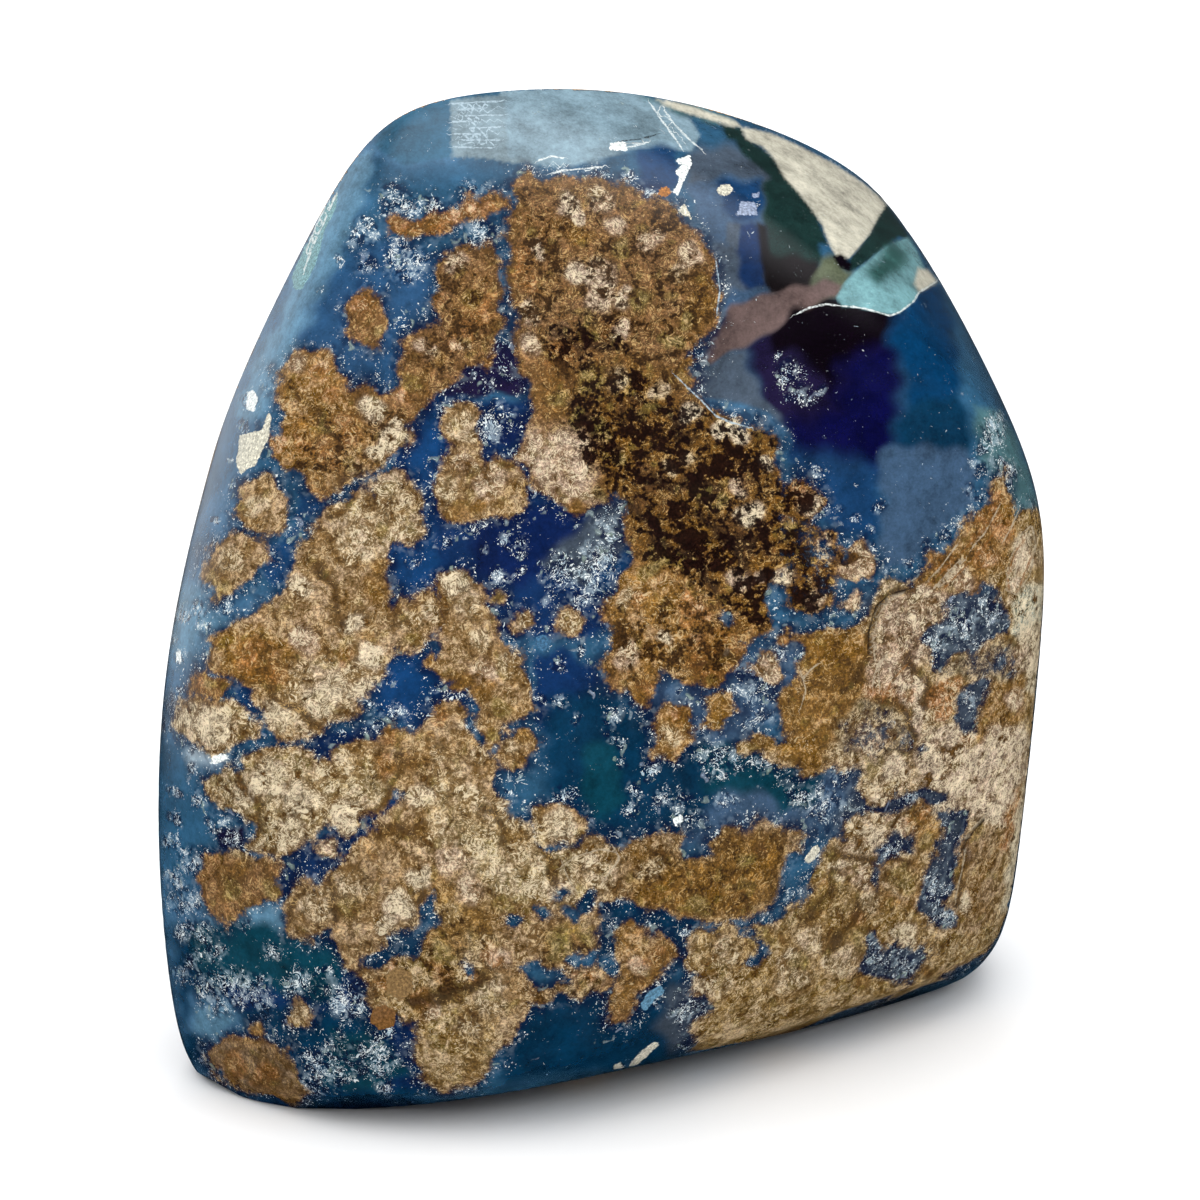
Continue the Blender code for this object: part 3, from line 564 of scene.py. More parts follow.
# Breaks in the moss where the ground shows: outline only, or a circle.
GAPS = [
    [(948, 600), (960, 596), (980, 590), (986, 584), (998, 596), (1006, 610), (1006, 630), (996, 644), (976, 652), (950, 660), (940, 668), (928, 656), (923, 644), (932, 626), (940, 616)],
    [(962, 696), (972, 682), (982, 674), (988, 680), (988, 694), (982, 708), (976, 726), (966, 734), (958, 728), (952, 718), (954, 706)],
    [(898, 794), (910, 784), (930, 786), (946, 790), (944, 806), (932, 806), (920, 800), (908, 804), (898, 816), (876, 812), (864, 820), (856, 814), (854, 804), (884, 808)],
    [(936, 806), (956, 812), (970, 814), (966, 832), (958, 848), (952, 880), (946, 896), (952, 920), (950, 930), (930, 928), (918, 912), (918, 892), (926, 876), (932, 860), (940, 850), (940, 832)],
    [(888, 840), (898, 832), (910, 832), (916, 842), (912, 850), (900, 852), (888, 860), (878, 864), (880, 850)],
    [(876, 864), (882, 872), (876, 884), (871, 880)],
    [(852, 976), (860, 960), (868, 940), (878, 932), (884, 948), (900, 944), (916, 946), (932, 950), (930, 964), (910, 978), (896, 988), (880, 978)],
    [(916, 748), (924, 746), (930, 754), (922, 760)],
    [(418, 905), (430, 893), (440, 903), (437, 925), (425, 940), (415, 948), (402, 955), (385, 965), (370, 972), (360, 968), (362, 955), (375, 948), (390, 940), (405, 932), (415, 925)],
    [(463, 712), (470, 714), (478, 730), (484, 742), (474, 738), (466, 724)],
    [(500, 790), (532, 785), (535, 815), (532, 832), (520, 824), (508, 812)],
    [(790, 862), (806, 862), (808, 880), (796, 900), (782, 905), (786, 880)],
    [(516, 964), (540, 958), (562, 968), (570, 985), (552, 990), (535, 996), (520, 985)],
    [(466, 958), (474, 963), (472, 980), (462, 986), (462, 972)],
    [(740, 930), (756, 930), (766, 950), (758, 968), (750, 960), (752, 945)],
    [(992, 948), (975, 962), (940, 980), (955, 995), (1000, 980)],
]
GAP_SPOTS = [
    (543, 911, 8), (570, 913, 8), (588, 902, 12), (603, 936, 7), (574, 957, 9), (592, 958, 8), (513, 920, 8),
    (434, 638, 5), (724, 617, 9), (560, 893, 5), (838, 615, 9), (825, 545, 3), (800, 618, 8),
]

# Where moss and ground are mixed in specks: depth of the moss there, outline.
SPECKLED = [
    (0.10, [(840, 720), (852, 708), (868, 702), (880, 702), (892, 712), (908, 720), (914, 740), (912, 754), (892, 758), (880, 764), (860, 760), (840, 750)]),
    (0.10, [(940, 668), (960, 656), (976, 652), (1000, 644), (1010, 640), (1018, 652), (1022, 672), (1010, 680), (980, 676), (940, 676)]),
    (0.25, [(780, 505), (800, 520), (836, 540), (836, 600), (800, 600), (775, 570)]),
]

# Spherules and blotches in the moss: colour, then x, y and radius of each.
SPHERULES = {
    "cream": [
        (840, 870, 11), (905, 935, 12), (962, 902, 12), (790, 960, 11), (700, 985, 11), (560, 890, 10),
        (213, 727, 20), (186, 715, 11), (322, 702, 16), (300, 588, 12), (352, 622, 12), (332, 688, 18), (370, 656, 12),
        (276, 716, 14), (738, 431, 11), (765, 465, 8), (718, 430, 8), (690, 414, 11), (750, 515, 14), (345, 815, 18),
        (300, 800, 20), (290, 835, 16), (785, 578, 12), (270, 778, 18), (245, 795, 14), (455, 584, 14), (420, 795, 14),
        (400, 905, 16), (420, 880, 12), (385, 925, 12), (372, 410, 14), (388, 440, 14), (375, 452, 10),
        (783, 580, 9), (700, 640, 5), (665, 640, 7), (725, 655, 4), (560, 825, 14), (360, 690, 12), (400, 430, 10),
    ],
    "light tan": [
        (390, 495, 22), (355, 545, 20), (380, 520, 14), (463, 428, 15), (448, 488, 13), (510, 663, 14), (410, 620, 14),
        (430, 612, 12), (570, 622, 15), (522, 622, 12), (660, 390, 11), (617, 378, 12), (690, 460, 9), (668, 470, 9),
        (480, 640, 14), (470, 605, 14), (625, 600, 10), (600, 872, 18), (590, 845, 10), (470, 800, 20), (440, 830, 18),
        (500, 815, 16), (520, 850, 16), (570, 875, 12), (350, 890, 22), (320, 905, 20), (860, 855, 16), (855, 830, 12),
        (885, 815, 14), (900, 880, 18), (440, 755, 12), (480, 755, 11), (468, 725, 9), (490, 1000, 18), (500, 985, 10),
        (470, 1025, 14), (670, 735, 14), (510, 745, 10), (230, 560, 16), (255, 505, 14), (808, 505, 10), (345, 760, 14),
        (320, 770, 10), (400, 760, 10), (870, 900, 14), (840, 960, 20), (810, 940, 16), (790, 980, 18), (725, 955, 18),
        (720, 985, 16), (905, 850, 12), (650, 870, 14), (270, 660, 10), (680, 270, 12), (460, 345, 9), (300, 1015, 12),
    ],
    "pale pink": [
        (960, 775, 26), (985, 760, 18), (1000, 740, 16), (930, 760, 16), (950, 735, 14), (870, 740, 18), (895, 770, 12),
        (1000, 790, 14), (975, 800, 14), (905, 690, 9), (915, 715, 9), (900, 615, 14), (920, 600, 12), (880, 800, 10),
        (600, 275, 16), (575, 270, 12), (625, 300, 12), (550, 470, 14), (560, 445, 14), (540, 455, 12), (568, 205, 11),
        (580, 215, 8), (1022, 560, 12), (1025, 545, 8), (1015, 585, 8), (590, 862, 9), (760, 580, 6), (540, 250, 8),
    ],
    "pink": [
        (900, 830, 12), (860, 880, 11), (962, 850, 12), (925, 902, 11), (500, 960, 12), (300, 640, 11), (620, 330, 12),
        (767, 669, 16), (858, 564, 19), (825, 548, 12), (815, 598, 13), (809, 502, 14), (852, 602, 8),
        (545, 455, 26), (575, 465, 18), (490, 482, 18), (465, 465, 12), (900, 630, 22), (920, 620, 20), (935, 605, 14),
        (890, 660, 14), (740, 580, 13), (740, 486, 9), (530, 345, 14), (528, 315, 12), (600, 300, 14), (615, 225, 12),
        (560, 330, 8), (627, 655, 15), (484, 672, 16), (305, 640, 16), (960, 580, 16), (980, 640, 12), (690, 255, 12),
        (1020, 660, 12), (1015, 700, 12), (455, 260, 10), (430, 355, 10), (420, 345, 9), (600, 200, 12), (650, 240, 12),
        (450, 860, 16), (470, 890, 14), (330, 850, 12), (880, 735, 12), (640, 965, 12), (430, 1010, 12), (300, 365, 10),
    ],
    "orange": [
        (455, 212, 8), (470, 205, 6), (365, 305, 10), (675, 711, 7), (715, 640, 14), (800, 492, 9), (985, 555, 12),
        (990, 520, 12), (640, 600, 8), (320, 372, 8), (405, 396, 8), (275, 440, 10), (455, 345, 8), (690, 600, 10),
        (910, 695, 8), (925, 815, 10), (910, 825, 7), (855, 920, 9), (965, 740, 8), (700, 610, 9), (250, 655, 8),
        (488, 950, 9), (500, 962, 7), (470, 975, 8), (570, 970, 8), (590, 978, 7), (380, 985, 9), (395, 965, 8),
    ],
    "rust": [
        (255, 660, 20), (275, 672, 12), (345, 430, 16), (310, 440, 16), (330, 460, 14), (390, 735, 12), (385, 765, 12),
        (700, 650, 14), (735, 645, 10), (690, 620, 12), (705, 665, 12), (600, 330, 10), (560, 355, 12), (520, 260, 14),
        (530, 285, 12), (480, 310, 14), (465, 330, 12), (440, 300, 8), (645, 690, 10), (345, 655, 9), (1000, 530, 14),
        (940, 560, 12), (975, 530, 10), (205, 685, 9), (330, 395, 10), (490, 365, 6), (785, 640, 8), (440, 715, 9),
        (235, 1065, 12), (265, 1075, 12), (430, 935, 14), (440, 970, 14), (420, 1000, 10), (655, 955, 9),
    ],
    "ochre": [
        (460, 512, 12), (478, 503, 8), (745, 850, 16), (760, 880, 18), (720, 890, 16), (730, 860, 14), (700, 880, 12),
        (775, 840, 12), (690, 905, 10), (820, 700, 16), (835, 660, 18), (810, 650, 12), (800, 715, 14), (845, 690, 14),
        (825, 735, 10), (700, 305, 12), (705, 280, 10), (715, 640, 10), (755, 600, 10), (700, 530, 10), (650, 605, 8),
        (485, 690, 12), (460, 682, 10), (520, 735, 9), (642, 697, 9), (375, 590, 12), (380, 565, 10), (370, 640, 8),
        (310, 430, 9), (430, 660, 6), (728, 560, 9), (575, 505, 10), (765, 745, 9), (755, 740, 8), (790, 750, 8),
        (440, 890, 12), (475, 920, 14), (450, 940, 14), (240, 870, 10), (260, 1030, 8), (570, 935, 10), (555, 945, 9),
        (740, 905, 10), (665, 895, 12), (650, 885, 8), (440, 360, 8), (575, 235, 11), (590, 240, 8), (690, 365, 8),
    ],
    "olive": [
        (350, 905, 12), (440, 950, 12), (505, 905, 10), (560, 940, 12), (700, 905, 12), (760, 940, 12), (820, 900, 14),
        (862, 942, 12), (902, 880, 12), (930, 842, 10), (640, 300, 12), (590, 330, 12), (470, 300, 10),
        (802, 556, 10), (790, 532, 10),
        (220, 590, 9), (378, 328, 6), (688, 320, 9), (680, 340, 9), (590, 380, 14), (560, 400, 10), (620, 250, 10),
        (665, 340, 8), (700, 490, 10), (720, 500, 9), (410, 380, 8), (210, 683, 6), (415, 640, 7), (500, 600, 6),
        (660, 555, 12), (650, 570, 9), (600, 430, 10), (620, 460, 8), (575, 420, 8), (640, 300, 10), (500, 710, 9),
        (380, 530, 8), (495, 735, 8), (600, 495, 6), (530, 235, 7), (560, 950, 12), (590, 940, 9), (800, 960, 10),
        (270, 890, 8), (230, 890, 10), (830, 860, 8), (870, 770, 8), (745, 860, 8), (240, 505, 6),
    ],
    "dark brown": [
        (690, 482, 10), (655, 485, 10), (645, 470, 8), (740, 470, 9), (730, 530, 14), (745, 545, 12), (700, 560, 14),
        (688, 548, 9), (665, 505, 10), (640, 500, 9), (635, 400, 8), (638, 415, 7), (570, 405, 8), (595, 330, 12),
        (560, 330, 9), (600, 345, 9), (500, 310, 8), (490, 330, 6), (715, 600, 9), (740, 625, 9), (760, 625, 8),
        (700, 680, 9), (720, 675, 8), (680, 570, 9), (770, 550, 10), (760, 530, 8), (815, 580, 12), (830, 590, 8),
        (795, 555, 8), (345, 480, 9), (325, 495, 7), (355, 492, 6), (326, 465, 5), (365, 385, 5), (640, 680, 8),
        (355, 350, 8), (520, 470, 6), (530, 485, 6), (410, 762, 7), (430, 735, 5), (370, 855, 5), (300, 855, 4),
        (432, 920, 6), (560, 895, 5), (580, 985, 6), (505, 983, 4), (760, 850, 8), (270, 1085, 9), (230, 1080, 7),
        (640, 980, 6), (785, 940, 5), (845, 872, 5), (970, 835, 5), (930, 975, 8), (860, 985, 9), (548, 1070, 10),
        (375, 1012, 7), (750, 480, 7), (565, 380, 8), (655, 330, 7), (620, 410, 7), (705, 585, 7),
    ],
    "maroon": [
        (677, 433, 6), (672, 430, 5), (694, 548, 6), (690, 552, 6), (735, 545, 7), (700, 500, 5), (600, 338, 5),
        (745, 540, 5), (505, 300, 6), (500, 285, 5), (820, 582, 6), (590, 336, 4), (540, 985, 4), (577, 984, 4),
        (752, 545, 5), (640, 395, 4), (525, 492, 5), (500, 255, 4), (640, 638, 6), (620, 630, 4),
    ],
}

# White frost in the ground: x, y, radius.
FROST = [
    (788, 372, 14), (800, 394, 15), (822, 390, 8), (778, 356, 6), (520, 548, 12), (506, 540, 8), (470, 372, 8), (484, 380, 8), (505, 372, 8), (560, 620, 8), (548, 600, 6), (330, 1052, 14), (180, 612, 12),
    (172, 640, 8), (1004, 480, 12), (996, 500, 8), (905, 560, 8), (890, 572, 6), (812, 470, 8), (840, 506, 6),
    (960, 625, 30), (985, 610, 20), (930, 650, 18), (905, 800, 16), (870, 830, 20), (890, 850, 16), (935, 890, 20), (945, 915, 16),
    (880, 950, 24), (905, 965, 18), (970, 700, 14), (905, 740, 14), (690, 1010, 20), (480, 235, 26), (405, 262, 26), (372, 402, 20),
    (450, 410, 22), (490, 425, 22), (600, 560, 26), (575, 600, 14), (220, 990, 30), (300, 985, 22), (350, 1000, 24), (330, 1070, 30),
    (380, 1060, 24), (190, 860, 20), (185, 900, 20), (200, 800, 14), (180, 720, 10), 
    (600, 905, 12), (690, 935, 10), (620, 900, 8), (665, 725, 12), (715, 760, 24), (760, 690, 26), (820, 800, 26), (680, 800, 18),
    (995, 425, 12), (985, 445, 12), (978, 465, 11), (973, 490, 10), (972, 508, 9), (960, 522, 8), (945, 536, 9), (930, 548, 9),
    (398, 205, 16), (415, 205, 12), (440, 206, 8), (365, 225, 12), (358, 242, 9), (338, 260, 7), (317, 290, 5), (560, 580, 22),
    (590, 590, 20), (240, 985, 24), (262, 1000, 14), (337, 1000, 20), (355, 1010, 12), (315, 1060, 14), (315, 1090, 12),
    (355, 1062, 22), (385, 1085, 14), (390, 1035, 12), (200, 900, 14), (185, 930, 14), (175, 880, 10), (172, 840, 10),
    (230, 838, 14), (215, 825, 10), (700, 730, 10), (735, 760, 14), (720, 800, 14), (660, 800, 14), (650, 770, 10),
    (800, 655, 5), (780, 650, 12), (745, 670, 14), (775, 695, 12), (755, 720, 12), (800, 800, 16), (830, 815, 16),
    
    (395, 200, 22), (365, 235, 18), (430, 205, 14), (470, 190, 12), (488, 190, 10), (366, 264, 12), (410, 265, 22),
    (335, 395, 10), (252, 400, 12), (245, 425, 8), (233, 488, 6), (218, 520, 6), (229, 463, 5), (500, 415, 18),
    (495, 438, 10), (445, 385, 10), (490, 385, 12), (480, 228, 20), (560, 560, 14), (585, 570, 18), (610, 530, 20),
    (590, 550, 14), (575, 590, 14), (600, 585, 8), (500, 580, 14), (520, 572, 8), (470, 530, 6), (450, 540, 7),
    (485, 547, 8), (410, 560, 8), (372, 714, 14), (397, 714, 12), (343, 730, 8), (440, 690, 12), (430, 705, 8),
    (545, 700, 8), (560, 705, 10), (575, 716, 8), (612, 715, 12), (635, 705, 10), (610, 735, 10), (620, 745, 8),
    (620, 765, 8), (635, 790, 12), (665, 790, 10), (632, 812, 12), (680, 797, 8), (700, 820, 12), (720, 775, 10),
    (735, 800, 8), (760, 700, 10), (770, 715, 8), (740, 690, 10), (760, 765, 14), (790, 790, 6), (835, 805, 16),
    (840, 775, 14), (860, 815, 8), (560, 795, 12), (575, 790, 8), (510, 790, 6), (192, 753, 7), (217, 757, 9),
    (200, 610, 12), (225, 605, 12), (205, 628, 10), (178, 655, 8), (190, 770, 8), (175, 790, 8), (180, 690, 8),
    (205, 935, 14), (215, 950, 12), (195, 960, 14), (180, 975, 12), (240, 980, 16), (260, 985, 12), (325, 975, 13),
    (330, 995, 12), (345, 985, 8), (300, 985, 8), (245, 925, 10), (270, 950, 10), (310, 1080, 12), (345, 1075, 12),
    (375, 1040, 12), (385, 1055, 12), (340, 1035, 8), (400, 1060, 8), 
    (655, 1000, 10), (640, 1070, 8), (670, 1010, 8), (880, 505, 10), (855, 520, 8), (870, 530, 6),
    (815, 475, 8), (825, 512, 10), (1000, 470, 18), (980, 470, 10), (990, 440, 12), (985, 495, 8), (960, 625, 16),
    (985, 620, 12), (940, 640, 10), (965, 640, 8), (975, 695, 8), (900, 735, 10), (925, 740, 10), (815, 852, 10),
    (790, 895, 6), (870, 960, 10), (890, 965, 8), (850, 560, 5), (875, 545, 6), (600, 175, 12), (625, 178, 12),
    (560, 175, 10), (530, 170, 8), (650, 192, 8), 
    (700, 360, 8), (712, 300, 6), (715, 320, 5), (935, 580, 6),
    (545, 644, 8), (560, 665, 8), (580, 650, 8), (510, 545, 5), (540, 560, 5), (470, 695, 6), (455, 700, 5),
    (680, 690, 8), (690, 705, 8), (755, 205, 3), (183, 850, 8), (175, 820, 8), (235, 840, 8), (225, 825, 8),
]

# White or pale pieces with clear borders, and bright lines: cracks, and painted streaks of reflected light on the top
# facet. Colour, outline.
PIECES = [
    ("white", [(684, 157), (690, 155), (692, 163), (686, 176), (678, 196), (673, 192), (680, 178), (675, 172), (681, 165), (675, 160)]),
    ("quartz", [(684, 203), (690, 213), (694, 222), (686, 216), (678, 212)]),
    ("quartz", [(716, 190), (722, 185), (730, 184), (733, 190), (728, 196), (719, 195)]),
    ("lilac grey", [(751, 194), (759, 192), (760, 197), (753, 198)]),
    ("lilac grey", [(741, 201), (755, 202), (758, 215), (737, 215)]),
    ("white", [(247, 392), (254, 390), (258, 398), (254, 412), (246, 410)]),
    ("quartz", [(268, 412), (262, 430), (240, 435), (236, 462), (240, 475), (255, 465), (268, 440), (272, 415)]),
    ("conch", [(338, 192), (326, 206), (307, 242), (292, 276), (294, 290), (302, 289), (316, 264), (324, 232), (336, 208)]),
    ("quartz", [(337, 192), (327, 206), (318, 222), (316, 236), (322, 228), (330, 214), (337, 202)]),
    ("quartz", [(312, 240), (306, 256), (300, 270), (304, 262), (312, 250)]),
    ("white", [(213, 757), (222, 753), (230, 757), (218, 764), (210, 764)]),
    ("white", [(176, 650), (180, 648), (182, 658), (180, 666), (176, 660)]),
    ("steel", [(536, 637), (545, 634), (551, 641), (548, 650), (539, 650), (535, 644)]),
    ("quartz", [(805, 858), (812, 848), (818, 844), (820, 852), (812, 862), (806, 864)]),
    ("light steel", [(640, 1006), (648, 992), (662, 985), (665, 992), (655, 1000), (645, 1012)]),
    ("quartz", [(628, 1066), (640, 1052), (655, 1041), (660, 1044), (645, 1058), (632, 1070)]),
    ("quartz", [(612, 1066), (620, 1062), (624, 1068), (616, 1072)]),
    ("tan", [(385, 975), (398, 966), (412, 974), (414, 990), (400, 1002), (388, 992)]),
    ("brown", [(372, 1010), (384, 1004), (396, 1012), (394, 1026), (380, 1030), (370, 1022)]),
    ("orange", [(660, 188), (668, 186), (672, 193), (666, 198), (658, 195)]),
    ("white", [(610, 144), (625, 140), (628, 150), (608, 151)]),
    ("white", [(672, 818), (682, 814), (684, 822), (676, 826)]),
]
LINES = {
    "veil": [
        # These eight lines are painted streaks of light inside the painted window reflection on the top facet.
        [(452, 104), (478, 102), (503, 101)],
        [(456, 110), (484, 108)],
        [(464, 116), (492, 115), (504, 115)],
        [(453, 122), (476, 121)],
        [(470, 128), (500, 127)],
        [(453, 134), (486, 134)],
        [(462, 140), (500, 140)],
        [(455, 147), (492, 148)],
        [(676, 376), (688, 388), (701, 400), (714, 414)],
        [(716, 416), (730, 422), (748, 427)],
        [(716, 262), (720, 290), (717, 312)],
    ],
    "white": [
        [(335, 197), (324, 222), (312, 248), (304, 270)],
        [(328, 200), (316, 226), (306, 252)],
        [(622, 148), (634, 146), (646, 143)],
        [(540, 160), (552, 156), (562, 158)],
        [(651, 104), (660, 118), (672, 134), (681, 147)],
        [(664, 110), (676, 126), (690, 140), (702, 150)],
        [(550, 174), (560, 171), (580, 169), (603, 167)],
        [(795, 315), (809, 308), (826, 304), (842, 306), (856, 307), (874, 311), (890, 316), (900, 312), (914, 301), (919, 292), (928, 287), (937, 281)],
    ],
    "cream": [
        [(962, 558), (956, 564), (948, 572), (942, 580), (934, 588)],
        [(964, 560), (956, 569), (948, 578), (940, 587)],
        [(956, 546), (940, 568), (928, 580)],
        [(1000, 505), (992, 520), (984, 534), (972, 548)],
        [(1018, 512), (1012, 526), (1004, 540)],
        [(885, 657), (878, 664), (874, 676), (873, 686)],
        [(876, 628), (873, 636), (876, 646)],
        [(560, 868), (575, 857), (600, 849), (614, 852)],
        [(612, 845), (620, 858), (613, 868), (604, 880)],
        [(575, 890), (567, 876), (562, 862)],
        [(803, 680), (810, 670), (818, 664)],
        [(875, 660), (873, 640), (878, 615), (890, 600), (905, 592)],
        [(880, 690), (878, 668), (886, 655)],
        [(965, 838), (975, 825), (986, 815)],
        [(955, 900), (962, 870), (966, 848)],
        [(1010, 560), (1020, 535), (1032, 525), (1036, 545), (1030, 575), (1016, 595), (1006, 590), (1008, 565)],
        [(1015, 575), (1022, 550), (1030, 537)],
        [(800, 670), (806, 690), (800, 710)],
    ],
    "rust": [
        [(930, 584), (948, 566), (966, 548), (984, 528)],
        [(944, 588), (962, 570), (980, 552), (996, 530)],
        [(1010, 596), (1008, 576), (1014, 554), (1024, 540)],
        [(1018, 592), (1024, 574), (1032, 556)],
        [(884, 700), (892, 680), (908, 664)],
    ],
    "maroon": [
        [(868, 650), (869, 630), (876, 606), (890, 594), (912, 588)],
        [(962, 850), (968, 838), (984, 820)],
        [(622, 141), (640, 139), (656, 135)],
    ],
}


# Dark seams between the lobes of the moss: half width, then the line.
SEAMS = [
    (3.0, [(314, 560), (322, 575), (331, 590), (337, 606), (342, 622)]),
    (2.5, [(362, 823), (376, 810), (390, 792), (400, 775), (404, 755)]),
    (3.0, [(376, 834), (390, 829), (408, 831), (420, 822)]),
    (2.5, [(329, 884), (333, 905), (332, 924)]),
    (3.5, [(412, 1000), (430, 1001), (448, 996), (470, 990), (484, 975)]),
    (2.5, [(412, 1022), (409, 1040), (412, 1060)]),
    (4.0, [(419, 892), (424, 910), (426, 931), (415, 950)]),
    (2.5, [(286, 931), (290, 912), (296, 900)]),
    (2.0, [(480, 806), (500, 818), (505, 840)]),
    (2.0, [(545, 846), (552, 868), (556, 886)]),
    (3.0, [(505, 240), (508, 270), (505, 300), (508, 335), (506, 366)]),
    (2.5, [(345, 480), (352, 495), (345, 512), (330, 520)]),
    (2.5, [(300, 395), (315, 410), (325, 430), (340, 440)]),
    (2.5, [(395, 560), (402, 580), (398, 600), (404, 620)]),
    (2.0, [(268, 690), (280, 705), (300, 712), (318, 722)]),
    (2.0, [(236, 772), (250, 790), (262, 812), (258, 838)]),
    (2.0, [(868, 650), (869, 630), (876, 608), (890, 596), (910, 588)]),
    (2.5, [(845, 690), (858, 672), (868, 655)]),
    (3.0, [(880, 700), (905, 712), (915, 732), (905, 752)]),
    (2.5, [(838, 850), (856, 862), (880, 858), (905, 862)]),
    (2.0, [(962, 850), (968, 838), (984, 820)]),
    (2.5, [(955, 905), (962, 872), (966, 848)]),
    (2.5, [(800, 925), (815, 905), (830, 892), (838, 872)]),
    (3.0, [(830, 950), (846, 930), (858, 905)]),
    (3.0, [(905, 655), (918, 670), (930, 690), (925, 710)]),
    (2.5, [(700, 665), (715, 655), (738, 660), (752, 650)]),
    (3.0, [(560, 330), (575, 345), (600, 350), (620, 340)]),
    (3.0, [(640, 395), (655, 412), (675, 420), (690, 440)]),
    (3.0, [(570, 405), (590, 420), (600, 440), (620, 450)]),
    (3.0, [(650, 480), (672, 488), (695, 480), (720, 488)]),
    (3.5, [(700, 515), (715, 535), (738, 548), (745, 570)]),
    (3.0, [(660, 545), (680, 550), (700, 565), (712, 590)]),
    (3.0, [(610, 500), (632, 505), (650, 520), (655, 540)]),
]


def polygon_field(points, outline):
    """Signed distance from each point to a closed outline, positive inside."""
    outline = np.asarray(outline, dtype=float)
    nearest = np.full(len(points), 1e9)
    inside = np.zeros(len(points), dtype=bool)
    for (x0, y0), (x1, y1) in zip(outline, np.roll(outline, -1, axis=0)):
        ex, ey = x1 - x0, y1 - y0
        wx, wy = points[:, 0] - x0, points[:, 1] - y0
        along = np.clip((wx * ex + wy * ey) / max(ex * ex + ey * ey, 1e-12), 0, 1)
        nearest = np.minimum(nearest, np.hypot(wx - along * ex, wy - along * ey))
        crosses = (y0 > points[:, 1]) != (y1 > points[:, 1])
        where = x0 + (points[:, 1] - y0) * ex / (ey if abs(ey) > 1e-12 else 1e-12)
        inside ^= crosses & (points[:, 0] < where)
    return np.where(inside, nearest, -nearest)


def line_field(points, line):
    """Distance from each point to an open line, and on which side of it the point is."""
    nearest = np.full(len(points), 1e9)
    side = np.ones(len(points))
    for (x0, y0), (x1, y1) in zip(line, line[1:]):
        ex, ey = x1 - x0, y1 - y0
        wx, wy = points[:, 0] - x0, points[:, 1] - y0
        along = np.clip((wx * ex + wy * ey) / (ex * ex + ey * ey), 0, 1)
        far = np.hypot(wx - along * ex, wy - along * ey)
        closer = far < nearest
        nearest = np.where(closer, far, nearest)
        side = np.where(closer, np.where(ex * wy - ey * wx >= 0, 1.0, -1.0), side)
    return nearest, side


def smooth(value, low, high):
    t = np.clip((value - low) / (high - low), 0, 1)
    return t * t * (3 - 2 * t)


def near(points, outline, margin):
    outline = np.asarray(outline, dtype=float)
    low = outline.min(axis=0) - margin
    high = outline.max(axis=0) + margin
    return np.nonzero(((points > low) & (points < high)).all(axis=1))[0]


def tint(colours, which, colour, amount):
    colours[which] += (colour - colours[which]) * amount[:, None]


# Where dark gaps open between the clumps of moss: how much, softness, outline.
GLOOM = [
    (0.95, 50, [(560, 380), (640, 360), (700, 400), (780, 430), (830, 490), (850, 560), (830, 620), (760, 640), (700, 600), (640, 560), (600, 500), (560, 430)]),
    (0.55, 40, [(510, 180), (680, 200), (715, 300), (690, 370), (560, 400), (510, 330)]),
    (0.80, 24, [(545, 310), (620, 310), (640, 360), (580, 380), (540, 360)]),
    (0.55, 40, [(600, 590), (760, 600), (740, 690), (610, 690)]),
    (0.55, 30, [(280, 370), (350, 420), (420, 400), (360, 490), (290, 480)]),
    (0.50, 30, [(430, 240), (500, 250), (500, 350), (430, 400), (400, 340)]),
    (0.40, 40, [(640, 830), (800, 830), (780, 920), (620, 910)]),
    (0.45, 30, [(400, 900), (480, 900), (500, 1000), (380, 1010)]),
    (0.45, 30, [(540, 940), (620, 930), (620, 1010), (520, 1000)]),
]

STEP = 10.0


